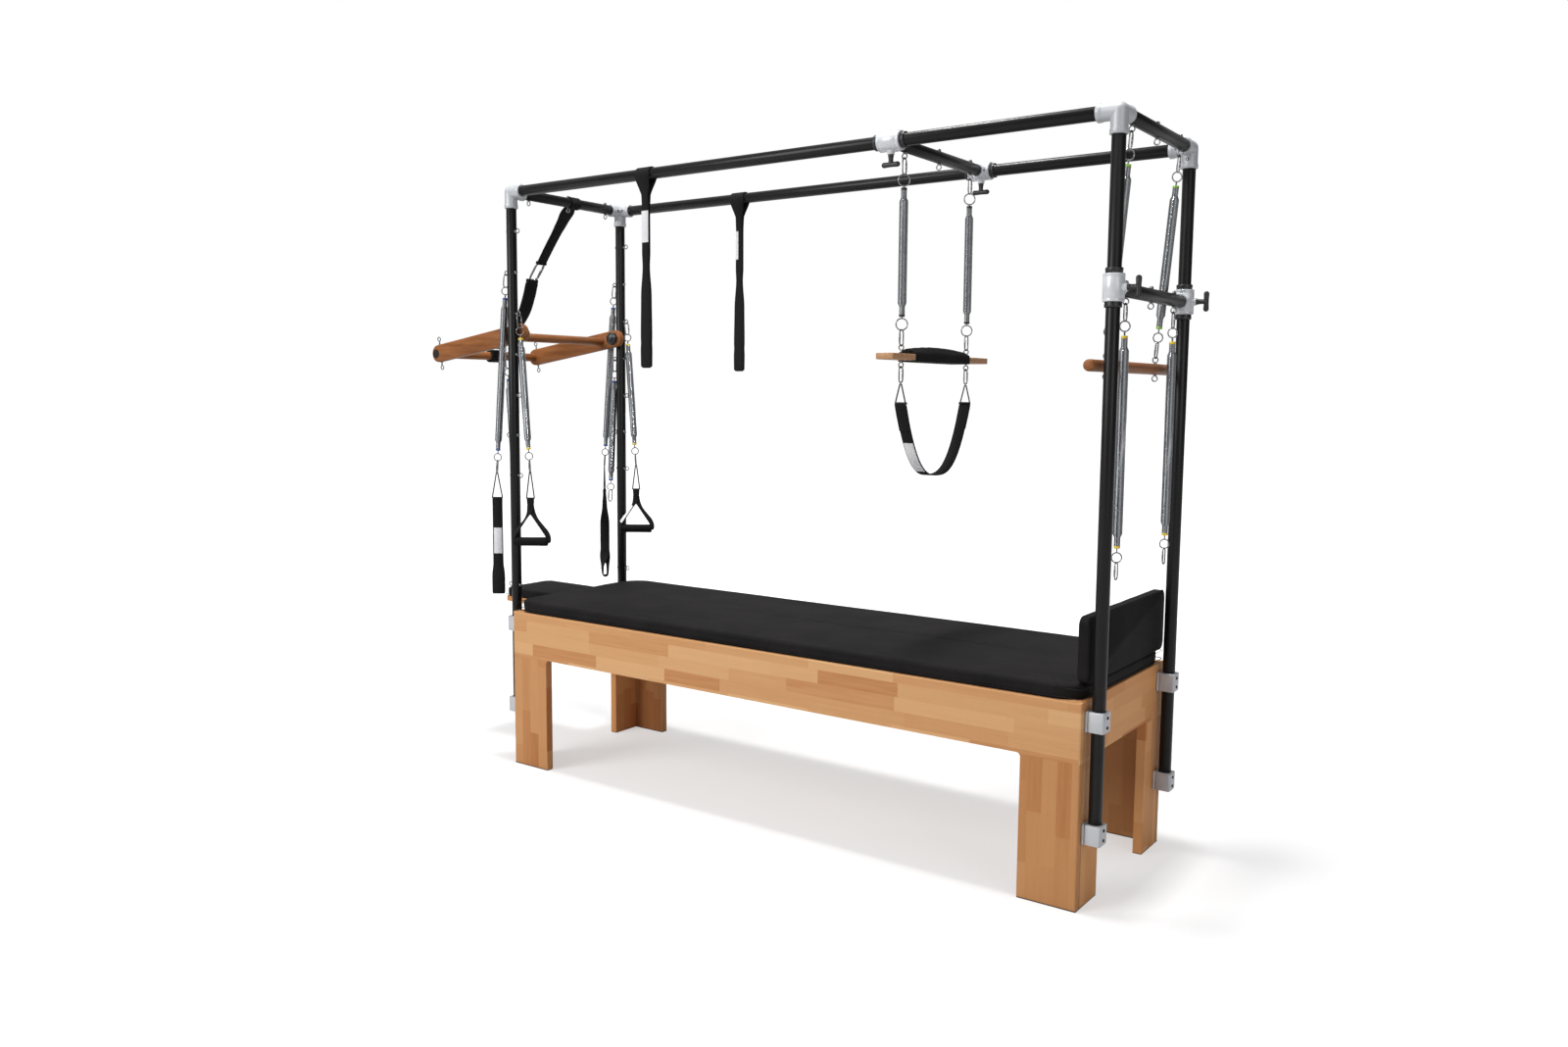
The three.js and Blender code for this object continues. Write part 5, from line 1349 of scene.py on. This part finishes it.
def loop_shapes(twist):
    """twist lists (drop, degrees) that the strap turns by under its ring."""
    ring = placed(wire_trapezoid(50, loop_ring, 2.5), turn(twist[0][1], "Z"))
    shapes = [(moved(ring, 0, 0, ring_hang), black_plastic)]
    path, outlines, ups = [], [], []

    def add(drop, offset):
        angle = math.radians(eased(min(drop, loop_length), twist))
        width = eased(min(drop, loop_length), loop_widths)
        out = Vector((-math.sin(angle), math.cos(angle), 0))
        path.append(out * offset + Vector((0, 0, loop_top - drop)))
        outlines.append((width, padded_band if drop > opening_drop - 40 else plain_band))
        ups.append(Vector((math.cos(angle), math.sin(angle), 0)))

    for drop in loop_drops:
        add(drop, eased(drop, loop_gaps))
    for k in range(1, 8):
        angle = math.pi * k / 8
        add(loop_length - 12 + foot_bend * math.sin(angle), foot_bend * math.cos(angle))
    for drop in reversed(loop_drops):
        add(drop, -eased(drop, loop_gaps))
    for k in range(1, 6):
        angle = math.pi * k / 6
        add(-2.6 * math.sin(angle) - 1, -3.0 * math.cos(angle))
    rings = []
    for i, point in enumerate(path):
        tangent = (path[(i + 1) % len(path)] - path[i - 1]).normalized()
        side = (ups[i] - tangent * ups[i].dot(tangent)).normalized()
        across = tangent.cross(side)
        rings.append([point + side * a + across * b for a, b in band(*outlines[i])])
    shapes.append((skin(rings, True), strap_cloth))
    return shapes


# %% Hang the long loops
loop_twists = {"near": [(0, 0), (loop_length, 4)],
               "far": [(0, 90), (60, 76), (170, 12), (260, -14), (330, -72), (loop_length, -78)]}
for side in sides:
    stand = Matrix.Translation(lower_bars[f"outer_spring_{side}"]) @ turn(ring_turn, "Z")
    shapes = loop_shapes(loop_twists[side])
    if side == "near":
        tag_line = [(1, -3.7, loop_top - drop) for drop in (112, 145, 180, 212)]
        shapes.append((carried(tag_line, band(32, 1), up=(1, 0, 0)), label_cloth))
    finished_piece(f"loop_strap_{side}", f"loop_{side}", place_all(shapes, stand),
                   replaces=[f"loop_{side}"])
print(2 * len(loop_drops) + 12, "outlines in a loop")

# %% [markdown]
# ## Hanging straps
# Two padded straps are choked round the rails. Each is one soft loop pressed flat: it turns over
# the tube, is gathered below it, runs down in two layers and widens where a hand or a foot goes in.
# %% Hanging straps
strap_widths = [(-22, 62), (0, 68), (30, 56), (71, 30), (118, 30), (266, 31), (305, 26), (412, 42),
                (545, 46), (560, 42), (580, 46), (654, 45)]
strap_gaps = [(0, 21.6), (66, 6), (118, 3.0), (520, 3.0), (600, 3.6), (654, 3.2)]
strap_drop, over_rail = 654, 21.6
strap_places = {"near": -490, "far": -540}
drops = [8 + 20 * k for k in range(33)]
for side, wy in sides.items():
    path, outlines = [], []
    for way, order in ((1, drops), (-1, list(reversed(drops)))):
        for drop in order:
            path.append((0, way * eased(drop, strap_gaps), -min(drop, strap_drop - 6)))
            outlines.append((eased(drop, strap_widths), 5.0))
        if way > 0:
            for k in range(1, 6):
                angle = math.pi * k / 6
                path.append((0, 3.4 * math.cos(angle), -strap_drop + 6 - 3.4 * math.sin(angle)))
                outlines.append((35, 4.6))
    for k in range(1, 12):
        angle = math.pi * k / 12
        path.append((0, -over_rail * math.cos(angle), over_rail * math.sin(angle)))
        outlines.append((62, 3.8))
    stand = at(strap_places[side], wy * post_y, canopy_height)
    strap = carried(path, [band(w, t) for w, t in outlines], True, up=(1, 0, 0))
    tag_width, tag_side = (30, 0) if side == "near" else (12, -8)
    tag = carried([(tag_side, -6.0, -d) for d in (122, 160, 195, 228)], band(tag_width, 1.2),
                  up=(1, 0, 0))
    piece = finished_piece(f"choked_strap_{side}", f"hanging_strap_{side}",
                           place_all([(strap, strap_cloth), (tag, label_cloth)], stand),
                           replaces=[f"hanging_strap_{side}"])
print("hanging straps", strap_drop, "mm long at", strap_places)

# %% [markdown]
# ## Safety strap
# A strap of webbing is choked round the left cross tube and clipped to a padded strap round the
# handle dowel. It crosses the bar's pivot, so it is tied to neither the table nor the bar. The clip
# between its two halves is the springs' link at nearly twice the size.
# %% Lines of the safety strap
strap_y = 26
handle_axis = bar_stand @ Vector((arm_dowels["bar_handle"][0], 0, 0))
webbing_line = smooth_path([(-1183, 0, 2146), (-1204, 0, 2120), (-1244, 0, 2071), (-1287, 0, 2019),
                            (-1322, 0, 1974), (-1348, 0, 1940)], 6)
pad_line = smooth_path([(-1401, 0, 1876), (-1411, 0, 1848), (-1425, 0, 1808), (-1461, 0, 1738),
                        (-1544, 0, 1656), (-1625, 0, 1604)], 8)
webbing_widths = [(0, 58), (5, 70), (10, 58), (15, 50), (30, 48)]


def turned_back(x, z, radius, width, thickness, steps=28):
    """A closed turn of webbing round an axis across the table."""
    line = [(x + radius * a, strap_y, z + radius * b) for a, b in circle(1, steps)]
    return carried(line, band(width, thickness), True, up=(0, 1, 0)), strap_cloth


print(len(webbing_line), "points on the webbing,", len(pad_line), "on the pad")

# %% Safety strap
shapes = []
for gap in (2.2, -2.2):
    outlines = [band(eased(k, webbing_widths), 3) for k in range(len(webbing_line))]
    layer = carried(webbing_line, outlines, up=(0, 1, 0))
    shapes.append((moved(layer, gap, strap_y, gap), strap_cloth))
shapes.append(turned_back(-1349, 1940, 6.0, 48, 3, 16))
shapes.append(turned_back(-1404, 1872, 6.6, 54, 3, 16))
shapes.append(turned_back(-post_x, canopy_height, 22.2, 48, 3))
pad_outlines = [band(64 - 12 * max(0, 1 - k / 5), 9 + 1.2 * noise.noise(Vector((k / 3, 5, 0))))
                for k in range(len(pad_line))]
shapes.append((moved(carried(pad_line, pad_outlines, up=(0, 1, 0)), 0, strap_y, 0), strap_cloth))
shapes.append(turned_back(handle_axis.x, handle_axis.z, 22.4, 50, 8))
clip_stand, clip_scale = at(-1346, strap_y, 1944) @ turn(38.8, "Y"), 1.85
shapes += place_all(link, clip_stand @ Matrix.Scale(clip_scale, 4))
strap_piece = finished_piece("safety_webbing", None, shapes,
                             replaces=["safety_strap"])
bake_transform(strap_piece)
print("safety strap,", len(shapes), "shapes")

# %% [markdown]
# ## Stage
# The photograph is a shop picture on white: the light is soft and comes from everywhere, a little
# more from the upper left, and the table keeps only a pale shadow under it. The floor is a mid grey
# that takes the shadow. For the camera it glows as well, more so away from the table, so that it
# runs into the white background without an edge.
# %% Floor
floor_finish = Finish("pale_floor", (0.5, 0.5, 0.5, 1.0), 0.95, specular=0.0)
fog = floor_finish.noise(floor_finish.stretched(3, 3, 3), 1.0, 2.0)
floor_finish.ramp(fog, [(0.3, (0.495, 0.495, 0.495, 1)), (0.7, (0.505, 0.505, 0.505, 1))])
seen = floor_finish.node("LightPath")
sight = floor_finish.maths("MAXIMUM", seen.outputs["Is Camera Ray"],
                           seen.outputs["Is Transmission Ray"])
sight = floor_finish.maths("MAXIMUM", sight, floor_finish.maths(
    "MULTIPLY", seen.outputs["Is Glossy Ray"], 0.4))
away = floor_finish.node("VectorMath", operation="LENGTH")
floor_finish.join(floor_finish.place, away.inputs[0])
far_off = floor_finish.node("MapRange", interpolation_type="SMOOTHSTEP")
floor_finish.join(away.outputs["Value"], far_off.inputs["Value"])
for socket, value in (("From Min", 1.9), ("From Max", 4.5), ("To Min", 0.50), ("To Max", 1.0)):
    far_off.inputs[socket].default_value = value
glow = floor_finish.maths("MULTIPLY", sight, far_off.outputs[0])
floor_finish.join(glow, floor_finish.shader.inputs["Emission Strength"])
floor_finish.shader.inputs["Emission Color"].default_value = (1, 1, 1, 1)
floor_mesh = bpy.data.meshes.new("floor")
reach = 60
floor_mesh.from_pydata([(-reach, -reach, 0), (reach, -reach, 0), (reach, reach, 0),
                        (-reach, reach, 0)], [], [(0, 1, 2, 3)])
floor_mesh.materials.append(floor_finish.material)
floor = bpy.data.objects.new("floor", floor_mesh)
bpy.context.scene.collection.objects.link(floor)

print("floor glows from", round(far_off.inputs["To Min"].default_value, 2), "near the table to 1")

# %% [markdown]
# Three round lamps light the table: a large key from the front left, a small one overhead whose
# shadow stays under the bench, and a weak fill from the right so that the end panels don't go dark.
# %% Lamps
def soft_lamp(name, place, aim, size, power):
    data = bpy.data.lights.new(name, "AREA")
    data.shape, data.size, data.energy = "DISK", size, power
    lamp = bpy.data.objects.new(name, data)
    lamp.location = Vector(place)
    lamp.rotation_euler = (Vector(aim) - Vector(place)).to_track_quat("-Z", "Y").to_euler()
    bpy.context.scene.collection.objects.link(lamp)


soft_lamp("key", place=(-3.2, -6.5, 4.6), aim=(0.2, 0, 1.0), size=4.6, power=400)
soft_lamp("overhead", place=(0.3, -0.2, 7.0), aim=(0.2, 0, 0), size=1.1, power=400)
soft_lamp("fill", place=(6.5, -3.0, 3.2), aim=(0.2, 0, 1.0), size=3.0, power=38)

print(sum(light.energy for light in bpy.data.lights), "W of lamps")

# %% [markdown]
# The world is white for the camera and an even grey for soft light. Only mirroring surfaces see its
# upright stripes, dark and bright in turn, which stand for the walls and soft boxes of a studio and
# give the round steel and the black tubes their long highlights.
# %% World
world = bpy.data.worlds.new("studio")
bpy.context.scene.world = world
world.use_nodes = True
tree = world.node_tree
background = tree.nodes["Background"]
path_kind = tree.nodes.new("ShaderNodeLightPath")
place = tree.nodes.new("ShaderNodeTexCoord")
stripes = tree.nodes.new("ShaderNodeTexGradient")
stripes.gradient_type = "RADIAL"
ramp = tree.nodes.new("ShaderNodeValToRGB")
tree.links.new(place.outputs["Generated"], stripes.inputs["Vector"])
tree.links.new(stripes.outputs["Fac"], ramp.inputs[0])
shades = [(0.0, 0.30), (0.07, 0.06), (0.14, 0.30), (0.20, 0.75), (0.25, 0.40), (0.285, 0.16),
          (0.34, 0.35), (0.41, 1.8), (0.455, 0.5), (0.52, 0.05), (0.64, 0.05), (0.75, 0.35),
          (0.86, 0.5)]
while len(ramp.color_ramp.elements) < len(shades):
    ramp.color_ramp.elements.new(0.5)
for element, (position, shade) in zip(ramp.color_ramp.elements, shades):
    element.position, element.color = position, (shade, shade, shade, 1)
pick_glossy = tree.nodes.new("ShaderNodeMixRGB")
tree.links.new(path_kind.outputs["Is Glossy Ray"], pick_glossy.inputs[0])
pick_glossy.inputs[1].default_value = (0.40, 0.40, 0.41, 1)
tree.links.new(ramp.outputs[0], pick_glossy.inputs[2])
pick_camera = tree.nodes.new("ShaderNodeMixRGB")
tree.links.new(path_kind.outputs["Is Camera Ray"], pick_camera.inputs[0])
tree.links.new(pick_glossy.outputs[0], pick_camera.inputs[1])
pick_camera.inputs[2].default_value = (1, 1, 1, 1)
tree.links.new(pick_camera.outputs[0], background.inputs["Color"])
background.inputs["Strength"].default_value = 1.0
bpy.context.scene.view_settings.view_transform = "Standard"
print(len(shades), "stripes")
